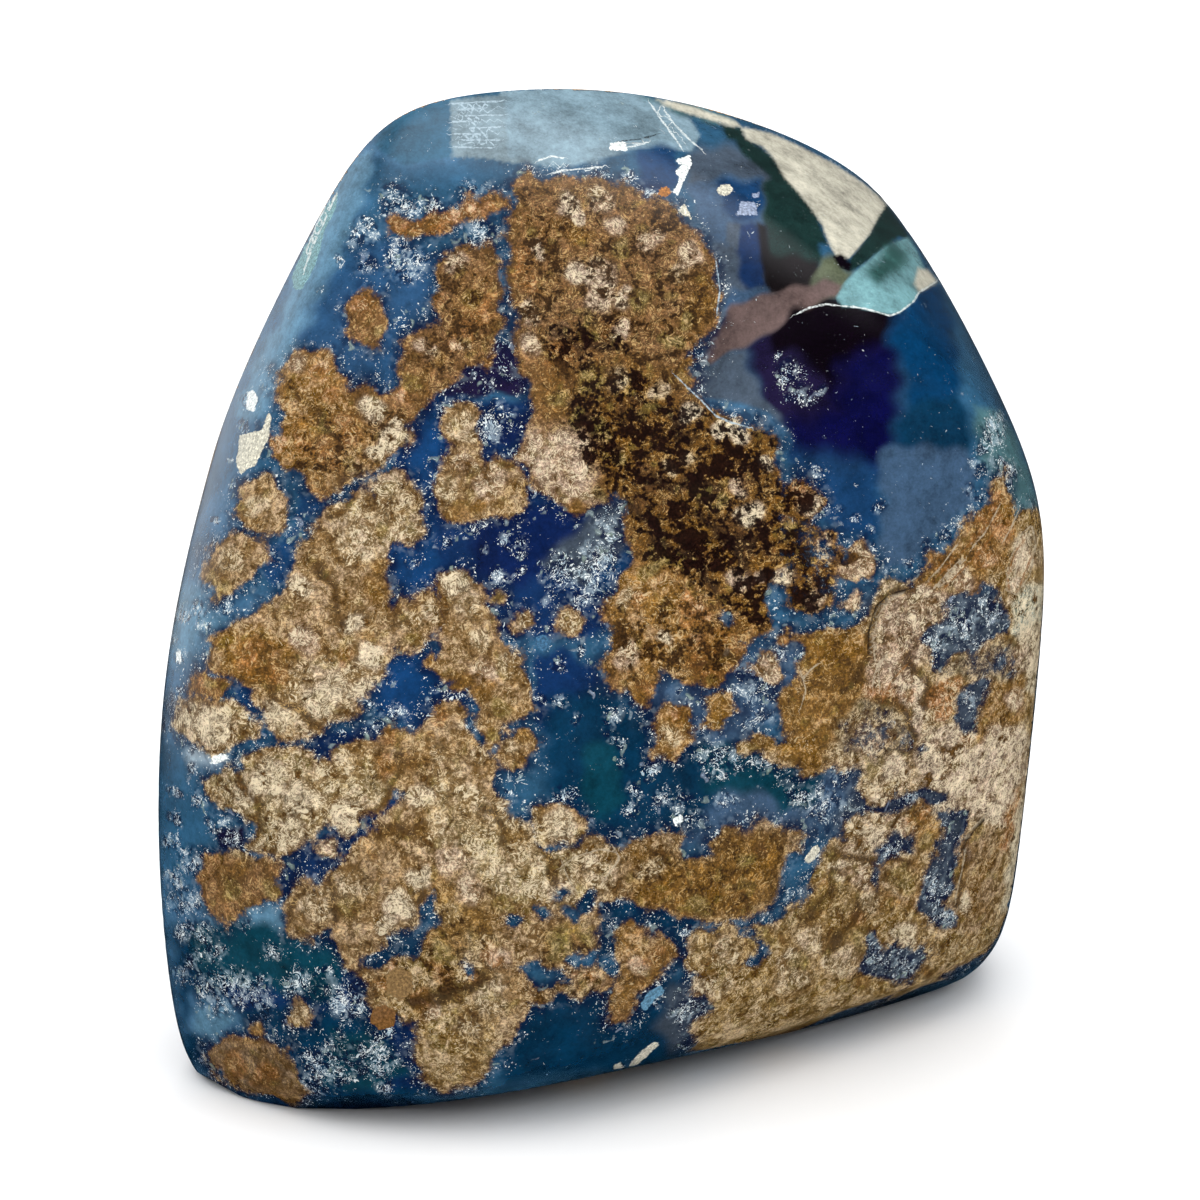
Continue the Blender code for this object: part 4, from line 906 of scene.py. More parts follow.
def paint_seen(pixels):
    """Fields of the side that the photograph shows: ground and moss colours, moss depth, frost and pale pieces."""
    count = len(pixels)
    shifted = pixels + 2.2 * np.stack(
        [np.sin(pixels[:, 1] * 0.21) + np.sin(pixels[:, 0] * 0.13), np.cos(pixels[:, 0] * 0.19) + np.sin(pixels[:, 1] * 0.11)],
        axis=1,
    )
    ground = np.tile(hexed(COLOURS["harbour"]), (count, 1))
    tone = np.tile(hexed(COLOURS["tan"]), (count, 1))
    depth = np.full(count, -4.0)
    frost = np.zeros(count)
    for name, softness, outline in WASHES:
        which = near(pixels, outline, softness + 4)
        field = polygon_field(shifted[which] if softness > 6 else pixels[which], outline)
        tint(ground, which, hexed(COLOURS[name]), smooth(field, -softness / 2, softness / 2))
    for name, outline in MASSES:
        which = near(pixels, outline, 45)
        field = polygon_field(shifted[which], outline) / STEP
        depth[which] = np.maximum(depth[which], field)
        tint(tone, which, hexed(COLOURS[name]), smooth(field, -1.5, 0.0))
    for name, softness, outline in TONES:
        which = near(pixels, outline, softness)
        field = polygon_field(shifted[which], outline)
        tint(tone, which, hexed(COLOURS[name]), smooth(field, -softness / 2, softness / 2))
    for name, spots in SPHERULES.items():
        colour = hexed(COLOURS[name])
        for x, y, radius in spots:
            which = near(pixels, [(x, y)], radius * 1.6 + 6)
            far = np.hypot(*(shifted[which] - (x, y)).T) / radius
            tint(tone, which, colour, 0.75 * smooth(-far, -1.3, -0.7))
            if radius >= 9 and name not in ("dark brown", "maroon"):
                rim = smooth(far, 0.8, 1.0) * smooth(-far, -1.35, -1.05)
                tint(tone, which, hexed(COLOURS["dark brown"]), 0.38 * rim)
            if name not in ("dark brown", "maroon"):
                depth[which] = np.maximum(depth[which], (1 - far) * radius / STEP)
    for width, line in SEAMS:
        which = near(pixels, line, 12)
        away, _ = line_field(shifted[which], line)
        tint(tone, which, hexed(COLOURS["seam"]), 0.85 * smooth(-away, -width - 3.5, -width + 1.0))
    for level, outline in SPECKLED:
        which = near(pixels, outline, 10)
        share = smooth(polygon_field(shifted[which], outline), -8.0, 4.0)
        depth[which] += (np.minimum(depth[which], level) - depth[which]) * share
    for outline in GAPS:
        which = near(pixels, outline, 30)
        depth[which] = np.minimum(depth[which], -polygon_field(shifted[which], outline) / STEP)
    for x, y, radius in GAP_SPOTS:
        which = near(pixels, [(x, y)], radius + 25)
        far = np.hypot(*(shifted[which] - (x, y)).T)
        depth[which] = np.minimum(depth[which], (far - radius) / STEP)
    gloom = np.full(count, 0.12)
    for amount, softness, outline in GLOOM:
        which = near(pixels, outline, softness)
        share = smooth(polygon_field(shifted[which], outline), -softness / 2, softness / 2)
        gloom[which] = np.maximum(gloom[which], amount * share)
    for x, y, radius in FROST:
        which = near(pixels, [(x, y)], radius * 1.5)
        far = np.hypot(*(shifted[which] - (x, y)).T) / radius
        frost[which] = np.maximum(frost[which], smooth(-far, -1.4, -0.2))
    pale = np.tile(hexed(COLOURS["white"]), (count, 1))
    piece = np.full(count, -1.0)
    for name, outline in PIECES:
        which = near(pixels, outline, 8)
        field = polygon_field(pixels[which], outline) / STEP
        better = field > piece[which]
        pale[which[better]] = hexed(COLOURS[name])
        piece[which] = np.maximum(piece[which], field)
    line_tone = np.tile(hexed(COLOURS["white"]), (count, 1))
    crack = np.full(count, 1.5)
    crack_on = np.zeros(count)
    for name, lines in LINES.items():
        for line in lines:
            which = near(pixels, line, 16)
            field, side = line_field(pixels[which], line)
            closer = field / STEP < np.abs(crack[which])
            crack[which[closer]] = (field * side)[closer] / STEP
            line_tone[which[closer]] = hexed(COLOURS[name])
            crack_on[which[closer]] = smooth(-field[closer], -9.0, -5.0)
    return ground, tone, depth, frost, gloom, pale, piece, line_tone, crack, crack_on


HIDDEN_SEED = 71
HIDDEN_SPOTS = 420
HIDDEN_GROUND = ["steel", "harbour", "harbour", "mid blue", "navy", "teal", "haze", "slate"]
HIDDEN_MOSS = ["tan", "tan", "light tan", "cream", "pink", "pale pink", "brown", "brown", "rust", "ochre", "gold", "olive", "dark brown"]


def paint_hidden(points):
    """The same kinds of ground and moss for the sides that the photograph doesn't show, points in millimetres."""
    rng = np.random.default_rng(HIDDEN_SEED)
    count = len(points)
    ground = np.tile(hexed(COLOURS["harbour"]), (count, 1))
    tone = np.tile(hexed(COLOURS["tan"]), (count, 1))
    depth = np.full(count, -4.0)
    frost = np.zeros(count)
    rays = rng.normal(size=(HIDDEN_SPOTS + 60, 3))
    rays /= np.linalg.norm(rays, axis=1)[:, None]
    places = np.array(HEART) + rays * skin_radius(rays)[:, None]
    for place in places[:60]:
        far = np.linalg.norm(points - place, axis=1) / rng.uniform(14, 30)
        name = HIDDEN_GROUND[rng.integers(len(HIDDEN_GROUND))]
        tint(ground, slice(None), hexed(COLOURS[name]), smooth(-far, -1.1, -0.5))
    clumps = places[60:90]
    for place in places[60:]:
        pull = rng.uniform(0, 1)
        radius = rng.uniform(2.0, 7.5)
        nearest = clumps[np.argmin(np.linalg.norm(clumps - place, axis=1))]
        spot = place + (nearest - place) * pull * 0.45
        ray = spot - np.array(HEART)
        ray = ray / np.linalg.norm(ray)
        spot = np.array(HEART) + ray * skin_radius(ray[None])[0]
        far = np.linalg.norm(points - spot, axis=1) / radius
        name = HIDDEN_MOSS[rng.integers(len(HIDDEN_MOSS))]
        tint(tone, slice(None), hexed(COLOURS[name]), 0.85 * smooth(-far, -1.3, -0.75))
        rim = smooth(far, 0.8, 1.0) * smooth(-far, -1.35, -1.05)
        tint(tone, slice(None), hexed(COLOURS["dark brown"]), 0.3 * rim)
        depth = np.maximum(depth, (1 - far) * radius / 1.5)
        if rng.uniform() < 0.25:
            frost = np.maximum(frost, 0.9 * smooth(-far, -1.7, -0.9))
    gloom = np.full(count, 0.12)
    for place in clumps[::3]:
        far = np.linalg.norm(points - place, axis=1) / rng.uniform(10, 20)
        gloom = np.maximum(gloom, rng.uniform(0.3, 0.9) * smooth(-far, -1.2, -0.4))
    return ground, tone, depth, frost, gloom


def paint_stone(mesh):
    """Writes the markings onto the stone's vertices."""
    count = len(mesh.vertices)
    points = np.empty(count * 3)
    mesh.vertices.foreach_get("co", points)
    points = points.reshape(-1, 3)
    normals = np.empty(count * 3)
    mesh.vertex_normals.foreach_get("vector", normals)
    normals = normals.reshape(-1, 3)
    sight = EYE - points
    sight /= np.linalg.norm(sight, axis=1)[:, None]
    facing = (sight * normals).sum(axis=1)
    pixels = photo_pixels(points)
    ground, tone, depth, frost, gloom, pale, piece, line_tone, crack, crack_on = paint_seen(pixels)
    share = smooth(facing, 0.03, 0.16)
    hidden = np.nonzero(share < 1)[0]
    h_ground, h_tone, h_depth, h_frost, h_gloom = paint_hidden(points[hidden] / MM)
    part = share[hidden]
    ground[hidden] = ground[hidden] * part[:, None] + h_ground * (1 - part[:, None])
    tone[hidden] = tone[hidden] * part[:, None] + h_tone * (1 - part[:, None])
    depth[hidden] = depth[hidden] * part + h_depth * (1 - part)
    frost[hidden] = frost[hidden] * part + h_frost * (1 - part)
    gloom[hidden] = gloom[hidden] * part + h_gloom * (1 - part)
    piece[hidden] = piece[hidden] * part - 1.0 * (1 - part)
    crack_on *= share
    depth = np.clip(depth, -4, 4)
    for name, colours in (("ground", ground), ("tone", tone), ("pale", pale), ("line_tone", line_tone)):
        layer = mesh.color_attributes.new(name, "FLOAT_COLOR", "POINT")
        layer.data.foreach_set("color", np.concatenate([colours, np.ones((count, 1))], axis=1).ravel())
    for name, values in (("moss", depth), ("frost", frost), ("gloom", gloom), ("piece", piece), ("crack", crack), ("crack_on", crack_on)):
        layer = mesh.attributes.new(name, "FLOAT", "POINT")
        layer.data.foreach_set("value", values)
    offset = points / MM - np.array(MOUTH_ORIGIN)
    flat = np.stack([offset[:, 0], offset @ np.array(FACE_UP)], axis=1)
    ring = [hollow_point(full_turn(i, 120), 0.0) - MOUTH_ORIGIN for i in range(120)]
    outline = [(p.x, p.dot(FACE_UP)) for p in ring]
    from_mouth = -polygon_field(flat, outline)
    layer = mesh.attributes.new("from_mouth", "FLOAT", "POINT")
    layer.data.foreach_set("value", from_mouth)


# ---------------------------------------------------------------- materials
class Shading:
    """Short hands for building a node tree."""

    def __init__(self, name):
        self.material = bpy.data.materials.new(name)
        self.material.use_nodes = True
        self.tree = self.material.node_tree
        self.shader = self.tree.nodes["Principled BSDF"]
        coordinates = self.tree.nodes.new("ShaderNodeTexCoord")
        self.mm = self.vector("SCALE", coordinates.outputs["Object"], scale=1000.0)

    def put(self, socket, value):
        if isinstance(value, bpy.types.NodeSocket):
            self.tree.links.new(value, socket)
        elif value is not None:
            socket.default_value = value

    def vector(self, operation, first, second=None, scale=None):
        node = self.tree.nodes.new("ShaderNodeVectorMath")
        node.operation = operation
        self.put(node.inputs[0], first)
        if second is not None:
            self.put(node.inputs[1], second)
        if scale is not None:
            self.put(node.inputs["Scale"], scale)
        return node.outputs[0]

    def math(self, operation, first, second=None, third=None, clamp=False):
        node = self.tree.nodes.new("ShaderNodeMath")
        node.operation = operation
        node.use_clamp = clamp
        self.put(node.inputs[0], first)
        if second is not None:
            self.put(node.inputs[1], second)
        if third is not None:
            self.put(node.inputs[2], third)
        return node.outputs[0]

    def attribute(self, name, output="Fac"):
        node = self.tree.nodes.new("ShaderNodeAttribute")
        node.attribute_name = name
        return node.outputs[output]

    def noise(self, scale, detail=2.0, roughness=0.5, distortion=0.0, vector=None, output="Fac"):
        node = self.tree.nodes.new("ShaderNodeTexNoise")
        self.put(node.inputs["Vector"], vector if vector is not None else self.mm)
        node.inputs["Scale"].default_value = scale
        node.inputs["Detail"].default_value = detail
        node.inputs["Roughness"].default_value = roughness
        node.inputs["Distortion"].default_value = distortion
        return node.outputs[output]

    def stretched(self, vector, turn, lengths):
        """Coordinates in which a noise of scale 1 becomes strokes of these lengths, turned by these angles."""
        node = self.tree.nodes.new("ShaderNodeMapping")
        node.vector_type = "TEXTURE"
        node.inputs["Rotation"].default_value = turn
        node.inputs["Scale"].default_value = lengths
        self.put(node.inputs["Vector"], vector)
        return node.outputs["Vector"]

    def cells(self, vector, scale, feature):
        """Distance and three random numbers of the voronoi cell."""
        node = self.tree.nodes.new("ShaderNodeTexVoronoi")
        node.feature = feature
        self.put(node.inputs["Vector"], vector)
        node.inputs["Scale"].default_value = scale
        if feature == "DISTANCE_TO_EDGE":
            return node.outputs["Distance"], None
        parts = self.tree.nodes.new("ShaderNodeSeparateXYZ")
        self.tree.links.new(node.outputs["Color"], parts.inputs[0])
        return node.outputs["Distance"], parts.outputs

    def dot(self, first, second):
        node = self.tree.nodes.new("ShaderNodeVectorMath")
        node.operation = "DOT_PRODUCT"
        self.put(node.inputs[0], first)
        self.put(node.inputs[1], second)
        return node.outputs["Value"]

    def ramp(self, value, low, high, to_low=0.0, to_high=1.0, smoothed=True):
        node = self.tree.nodes.new("ShaderNodeMapRange")
        node.interpolation_type = "SMOOTHSTEP" if smoothed else "LINEAR"
        self.put(node.inputs["Value"], value)
        self.put(node.inputs["From Min"], low)
        self.put(node.inputs["From Max"], high)
        self.put(node.inputs["To Min"], to_low)
        self.put(node.inputs["To Max"], to_high)
        return node.outputs["Result"]

    def mix(self, amount, first, second, blend="MIX"):
        node = self.tree.nodes.new("ShaderNodeMix")
        node.data_type = "RGBA"
        node.blend_type = blend
        self.put(node.inputs["Factor"], amount)
        self.put(node.inputs[6], first)
        self.put(node.inputs[7], second)
        return node.outputs[2]

    def bump(self, height, distance, strength=1.0, normal=None):
        node = self.tree.nodes.new("ShaderNodeBump")
        node.inputs["Strength"].default_value = strength
        node.inputs["Distance"].default_value = distance
        self.put(node.inputs["Height"], height)
        if normal is not None:
            self.put(node.inputs["Normal"], normal)
        return node.outputs["Normal"]

    def finish(self, **settings):
        for socket, value in settings.items():
            self.put(self.shader.inputs[socket.replace("_", " ")], value)
        return self.material


def rgba(name):
    return (*hexed(COLOURS[name]), 1.0)


FIBRE_TURNS = ((0.3, 0.5, 0.2), (-0.2, 1.75, 0.5), (0.4, 2.7, -0.3))


def skin_material():
    s = Shading("polished_agate")
    moss = s.attribute("moss")
    # The ground colour also carries the painted reflections of a softbox and a window on the top facet.
    ground = s.attribute("ground", "Color")
    tone = s.attribute("tone", "Color")
    frost = s.attribute("frost")
    gloom = s.attribute("gloom")

    def moved(x, y, z):
        return s.vector("ADD", s.mm, (x, y, z))

    def swing(noise, amount, base=0.0):
        return s.math("MULTIPLY_ADD", s.math("SUBTRACT", noise, 0.5), amount, base)

    def strayed(coordinates, noise_scale, by, offset):
        colour = s.noise(noise_scale, 0.0, output="Color", vector=moved(*offset))
        return s.vector("ADD", coordinates, s.vector("SCALE", s.vector("SUBTRACT", colour, (0.5, 0.5, 0.5)), scale=by))

    lobes = s.noise(0.28, 1.0)
    middle = s.noise(0.85, 2.0, 0.6)
    fine = s.noise(2.7, 1.0, 0.75)
    patches = s.noise(0.13, 1.0, 0.55)
    clusters = s.noise(0.45, 1.0, 0.6, vector=moved(19.0, 71.0, 3.0))

    # Fine fibres in three directions: the crests are pale hairs, the troughs dark ones.
    curled = strayed(s.mm, 0.7, 2.6, (3.0, 14.0, 28.0))
    fibres = [s.noise(1.0, 1.0, 0.6, vector=s.stretched(curled, turn, (1.3, 0.26, 0.30))) for turn in FIBRE_TURNS]
    crest = s.math("MAXIMUM", s.math("MAXIMUM", fibres[0], fibres[1]), fibres[2])
    trough = s.math("MINIMUM", s.math("MINIMUM", fibres[0], fibres[1]), fibres[2])

    edge = swing(lobes, 1.5, moss)
    edge = swing(middle, 1.1, edge)
    edge = swing(fine, 0.55, edge)
    mossy = s.ramp(edge, -0.36, 0.36)

    # Lumps of every size: pale and pinkish in the middle, golden at the sides, with dark gaps where the moss is deep.
    bulk = swing(s.noise(0.21, 2.0, 0.5, vector=s.vector("ADD", curled, (40.0, 2.0, 3.0))), 0.8)
    bulk = swing(s.noise(0.48, 1.0, 0.6, vector=s.vector("ADD", curled, (0.0, 55.0, 21.0))), 1.1, bulk)
    bulk = swing(middle, 0.9, bulk)
    bulk = swing(fine, 0.5, bulk)
    gaps = s.math("MULTIPLY_ADD", gloom, -0.34, bulk)
    gaps = s.ramp(gaps, -0.22, -0.42)
    hue = s.noise(0.30, 2.0, 0.65, vector=moved(31.0, 7.0, 12.0))
    warm = s.mix(s.ramp(hue, 0.40, 0.66, 0.12, 0.62), tone, rgba("gold moss"))
    pallor = s.dot(tone, (0.3, 0.6, 0.1))
    cool = s.math("MULTIPLY", s.ramp(hue, 0.60, 0.38, 0.15, 0.60), s.ramp(pallor, 0.08, 0.20))
    cool = s.mix(cool, tone, rgba("pale pink"))
    body = s.mix(s.ramp(bulk, -0.16, 0.20), warm, cool)
    body = s.mix(s.ramp(s.noise(0.4, 1.0, 0.6, vector=moved(3.0, 90.0, 4.0)), 0.58, 0.70, 0.0, 0.40), body, rgba("olive"))
    rim = s.ramp(swing(middle, 0.8, edge), 0.0, 0.9, 0.55, 0.0)
    body = s.mix(rim, body, rgba("dark brown"))
    grain = swing(fine, 3.1)
    grain = swing(middle, 1.3, grain)
    light = s.math("POWER", 2.0, s.math("ADD", grain, s.math("MULTIPLY_ADD", gloom, -0.45, s.math("MULTIPLY_ADD", bulk, 2.2, -0.12))))
    body = s.vector("SCALE", body, scale=light)
    shadow = s.mix(0.22, rgba("gap"), s.vector("SCALE", tone, scale=0.12))
    worn = swing(clusters, -0.10, trough)
    furrow = s.mix(s.ramp(gloom, 0.1, 0.8), rgba("furrow"), shadow)
    body = s.mix(s.ramp(worn, 0.395, 0.33, 0.0, 0.62), body, furrow)
    # Pale hairs and specks, thickest on the pale moss.
    hair = s.mix(s.ramp(pallor, 0.22, 0.09), rgba("chalk"), rgba("golden hair"))
    haired = s.math("MULTIPLY_ADD", pallor, 0.42, swing(clusters, 0.26, crest))
    haired = s.ramp(s.math("MULTIPLY_ADD", bulk, 0.12, haired), 0.70, 0.755, 0.0, 0.82)
    body = s.mix(haired, body, s.vector("SCALE", hair, scale=s.math("POWER", 2.0, swing(middle, 1.4))))
    specks = s.math("MULTIPLY_ADD", pallor, 0.5, grain)
    body = s.mix(s.ramp(specks, 0.72, 0.95, 0.0, 0.75), body, hair)
    body = s.mix(gaps, body, s.vector("SCALE", furrow, scale=s.ramp(grain, -0.6, 0.9, 0.5, 1.9)))

    # Ground: clear agate with slow clouds, darker along the moss, and with white hairs, flecks and crumbs in the frost.
    clouds = s.noise(0.17, 3.0, 0.62, vector=moved(5.0, 3.0, 60.0))
    cloud = swing(clouds, 1.8, 1.0)
    cloud = swing(middle, 0.7, cloud)
    cloud = swing(fine, 0.6, cloud)
    clear = s.vector("SCALE", ground, scale=s.math("MAXIMUM", cloud, 0.15))
    near_moss = s.ramp(edge, -1.5, -0.1)
    clear = s.mix(s.math("MULTIPLY", near_moss, s.ramp(clouds, 0.35, 0.65, 0.85, 0.30)), clear, rgba("shade"))
    dense = s.math("MAXIMUM", s.math("MULTIPLY", s.ramp(edge, -2.4, -0.3), 0.50), frost)
    blots = s.noise(0.55, 2.0, 0.7, vector=moved(77.0, 21.0, 9.0))
    clear = s.mix(s.math("MULTIPLY", s.ramp(dense, 0.1, 0.8), s.ramp(blots, 0.54, 0.40, 0.0, 0.8)), clear, rgba("shade"))
    veil = s.math("MULTIPLY", s.ramp(dense, 0.2, 1.0), s.ramp(swing(middle, 0.5, blots), 0.50, 0.68, 0.0, 0.42))
    clear = s.mix(veil, clear, rgba("veil"))
    crumb_away, crumb = s.cells(curled, 0.62, "F1")
    chosen = s.ramp(s.math("MULTIPLY_ADD", dense, 0.55, swing(clusters, 0.6, crumb[0])), 1.03, 1.07)
    crumbs = s.math("MULTIPLY", chosen, s.ramp(swing(fine, 0.5, crumb_away), 0.40, 0.20))
    crumb_tone = s.mix(crumb[1], rgba("lilac grey"), rgba("green chalk"))
    crumb_tone = s.vector("SCALE", crumb_tone, scale=s.math("POWER", 2.0, swing(fine, 4.0, -0.3)))
    clear = s.mix(s.math("MULTIPLY", crumbs, 0.6), clear, crumb_tone)
    level = swing(clusters, 0.34, crest)
    level = s.math("MULTIPLY_ADD", dense, 0.165, level)
    fleck = s.ramp(level, 0.795, 0.85, 0.0, 0.9)
    dots = s.math("MULTIPLY_ADD", dense, 0.085, swing(clusters, 0.22, fine))
    dots = s.math("MULTIPLY", s.ramp(dots, 0.73, 0.76, 0.0, 0.9), s.ramp(dense, 0.03, 0.30))
    clear = s.mix(fleck, clear, s.mix(s.ramp(middle, 0.4, 0.6), rgba("veil"), rgba("white")))
    clear = s.mix(dots, clear, rgba("white"))

    colour = s.mix(mossy, clear, body)
    piece = s.attribute("piece")
    jagged = swing(middle, 0.35, swing(fine, 0.2, piece))
    shown = s.ramp(jagged, -0.05, 0.06)
    chalk = s.vector("SCALE", s.attribute("pale", "Color"), scale=s.math("POWER", 2.0, swing(fine, 3.4)))
    colour = s.mix(shown, colour, chalk)
    lined = s.attribute("crack_on")
    half = s.math("MULTIPLY", lined, swing(middle, 0.28, 0.075))
    away = s.math("ABSOLUTE", s.attribute("crack"))
    drawn = s.ramp(s.math("SUBTRACT", away, half), 0.04, -0.04)
    drawn = s.math("MULTIPLY", drawn, s.math("MULTIPLY", lined, s.ramp(fine, 0.38, 0.54, 0.30, 0.85)))
    colour = s.mix(drawn, colour, s.attribute("line_tone", "Color"))

    # Shallow wheel marks on the ground facets at the top.
    slope = s.tree.nodes.new("ShaderNodeSeparateXYZ")
    s.tree.links.new(s.tree.nodes.new("ShaderNodeNewGeometry").outputs["Normal"], slope.inputs[0])
    facet = s.ramp(slope.outputs["Z"], 0.70, 0.82)
    marks = s.noise(1.0, 1.0, 0.7, vector=s.vector("MULTIPLY", s.mm, (0.10, 2.4, 2.4)))
    height = s.math("MULTIPLY_ADD", s.math("MULTIPLY", facet, marks), 0.5, s.math("MULTIPLY", fine, 0.4))
    normal = s.bump(height, 0.00005, 0.4)
    rough = s.math("MULTIPLY_ADD", mossy, 0.16, s.ramp(patches, 0.3, 0.7, 0.10, 0.20))
    return s.finish(
        Base_Color=colour,
        Roughness=rough,
        IOR=1.54,
        Specular_IOR_Level=0.35,
        Coat_Weight=0.3,
        Coat_Roughness=0.03,
        Normal=normal,
    )


def sawn_material():
    """Sawn and polished far face: milky quartz at the mouth, then bands of agate, then the mossy rind."""
    s = Shading("banded_agate")
    away = s.attribute("from_mouth")
    slow = s.noise(0.06, 3.0, 0.55, vector=s.vector("ADD", s.mm, (2.0, 80.0, 4.0)))
    quick = s.noise(0.5, 3.0, 0.6)
    fine = s.noise(2.4, 2.0, 0.6)
    bend = s.math("MULTIPLY_ADD", s.math("SUBTRACT", slow, 0.5), 16.0, away)
    bend = s.math("MULTIPLY_ADD", s.math("SUBTRACT", quick, 0.5), 1.6, bend)
    bands = s.tree.nodes.new("ShaderNodeValToRGB")
    s.put(bands.inputs["Fac"], s.ramp(bend, -1.0, 32.0, 0.0, 1.0, smoothed=False))
    stops = [
        (0.00, "quartz"), (0.09, "white"), (0.12, "lilac grey"), (0.16, "light steel"), (0.20, "white"), (0.23, "steel"),
        (0.30, "haze"), (0.34, "light steel"), (0.37, "harbour"), (0.45, "mid blue"), (0.50, "haze"), (0.54, "quartz"),
        (0.57, "slate"), (0.66, "harbour"), (0.74, "teal"), (0.84, "haze"), (0.92, "green grey"), (1.0, "slate"),
    ]
    ramp = bands.color_ramp
    while len(ramp.elements) < len(stops):
        ramp.elements.new(0.5)
    for element, (place, name) in zip(ramp.elements, stops):
        element.position = place
        element.color = rgba(name)
    stripes = s.math("SINE", s.math("MULTIPLY", bend, 5.2))
    colour = s.vector("SCALE", bands.outputs["Color"], scale=s.math("MULTIPLY_ADD", stripes, 0.07, 1.0))
    colour = s.mix(1.0, colour, s.vector("SCALE", (1.0, 1.0, 1.0), scale=s.math("MULTIPLY_ADD", s.math("SUBTRACT", fine, 0.5), 0.5, 1.0)), "MULTIPLY")
    moss_noise = s.noise(0.16, 4.0, 0.62, 0.3, vector=s.vector("ADD", s.mm, (70.0, 1.0, 9.0)))
    level = s.ramp(bend, 3.0, 26.0, 0.72, 0.52)
    mossy = s.ramp(s.math("MULTIPLY_ADD", s.math("SUBTRACT", fine, 0.5), 0.10, s.math("SUBTRACT", moss_noise, level)), -0.01, 0.02)
    grain = s.noise(4.6, 1.0, 0.6)
    light = s.math("MULTIPLY_ADD", s.math("SUBTRACT", grain, 0.5), 3.2, 1.0)
    hue = s.noise(0.4, 3.0, 0.6)
    brown = s.mix(s.ramp(hue, 0.4, 0.6), rgba("brown"), rgba("light tan"))
    brown = s.vector("SCALE", brown, scale=s.math("MAXIMUM", light, 0.15))
    colour = s.mix(mossy, colour, brown)
    return s.finish(
        Base_Color=colour,
        Roughness=s.ramp(quick, 0.3, 0.7, 0.12, 0.22),
        IOR=1.54,
        Specular_IOR_Level=0.4,
        Coat_Weight=0.3,
        Coat_Roughness=0.04,
    )


def crystal_material():
    s = Shading("amethyst")
    # Colourless at the foot, violet at the point, and no two crystals quite alike.
    zones = s.noise(0.5, 2.0, 0.6)
    height = s.math("MULTIPLY_ADD", s.math("SUBTRACT", zones, 0.5), 0.7, s.attribute("height"))
    colour = s.mix(s.ramp(height, 0.05, 0.75), (0.74, 0.66, 0.86, 1.0), (0.26, 0.10, 0.50, 1.0))
    colour = s.vector("SCALE", colour, scale=s.ramp(s.attribute("shade"), 0.0, 1.0, 0.45, 1.6, smoothed=False))
    absorption = s.tree.nodes.new("ShaderNodeVolumeAbsorption")
    absorption.inputs["Color"].default_value = (0.42, 0.16, 0.78, 1.0)
    absorption.inputs["Density"].default_value = 110.0
    s.tree.links.new(absorption.outputs[0], s.tree.nodes["Material Output"].inputs["Volume"])
    return s.finish(Base_Color=colour, Roughness=0.05, IOR=1.55, Transmission_Weight=0.60)


def quartz_material():
    s = Shading("milky_quartz")
    cloud = s.noise(0.3, 4.0, 0.6)
    colour = s.mix(s.ramp(cloud, 0.35, 0.65), (0.36, 0.26, 0.52, 1.0), (0.62, 0.56, 0.70, 1.0))
    colour = s.mix(s.ramp(s.attribute("height"), 0.02, 0.22), colour, (0.10, 0.035, 0.20, 1.0))
    return s.finish(Base_Color=colour, Roughness=0.35, IOR=1.54)


def floor_material():
    s = Shading("studio_floor")
    soft = s.noise(0.02, 2.0)
    colour = s.mix(s.ramp(soft, 0.3, 0.7), (0.90, 0.90, 0.90, 1.0), (0.93, 0.93, 0.93, 1.0))
    return s.finish(Base_Color=colour, Roughness=0.9, Specular_IOR_Level=0.1)


# ---------------------------------------------------------------- the crystals
CRYSTAL_SEED = 29
SITE_SPACING = (2.5, 5.4)
CRYSTAL_TALL = (2.8, 6.4)


def crystal_sites(rng):
    kept = []
    places = []
    for _ in range(15000):
        angle = rng.uniform(0, 2 * math.pi)
        inward = 1.0 - math.sqrt(rng.uniform(0.0, 1.0)) * 0.965
        wanted = rng.uniform(*SITE_SPACING)
        point = np.array(hollow_point(angle, inward, QUARTZ_LAYER))
        if kept:
            gaps = np.linalg.norm(np.array([k[0] for k in kept]) - point, axis=1)
            limits = (np.array([k[1] for k in kept]) + wanted) / 2
            if (gaps < limits).any():
                continue
        kept.append((point, wanted))
        places.append((angle, inward, wanted))
    return places


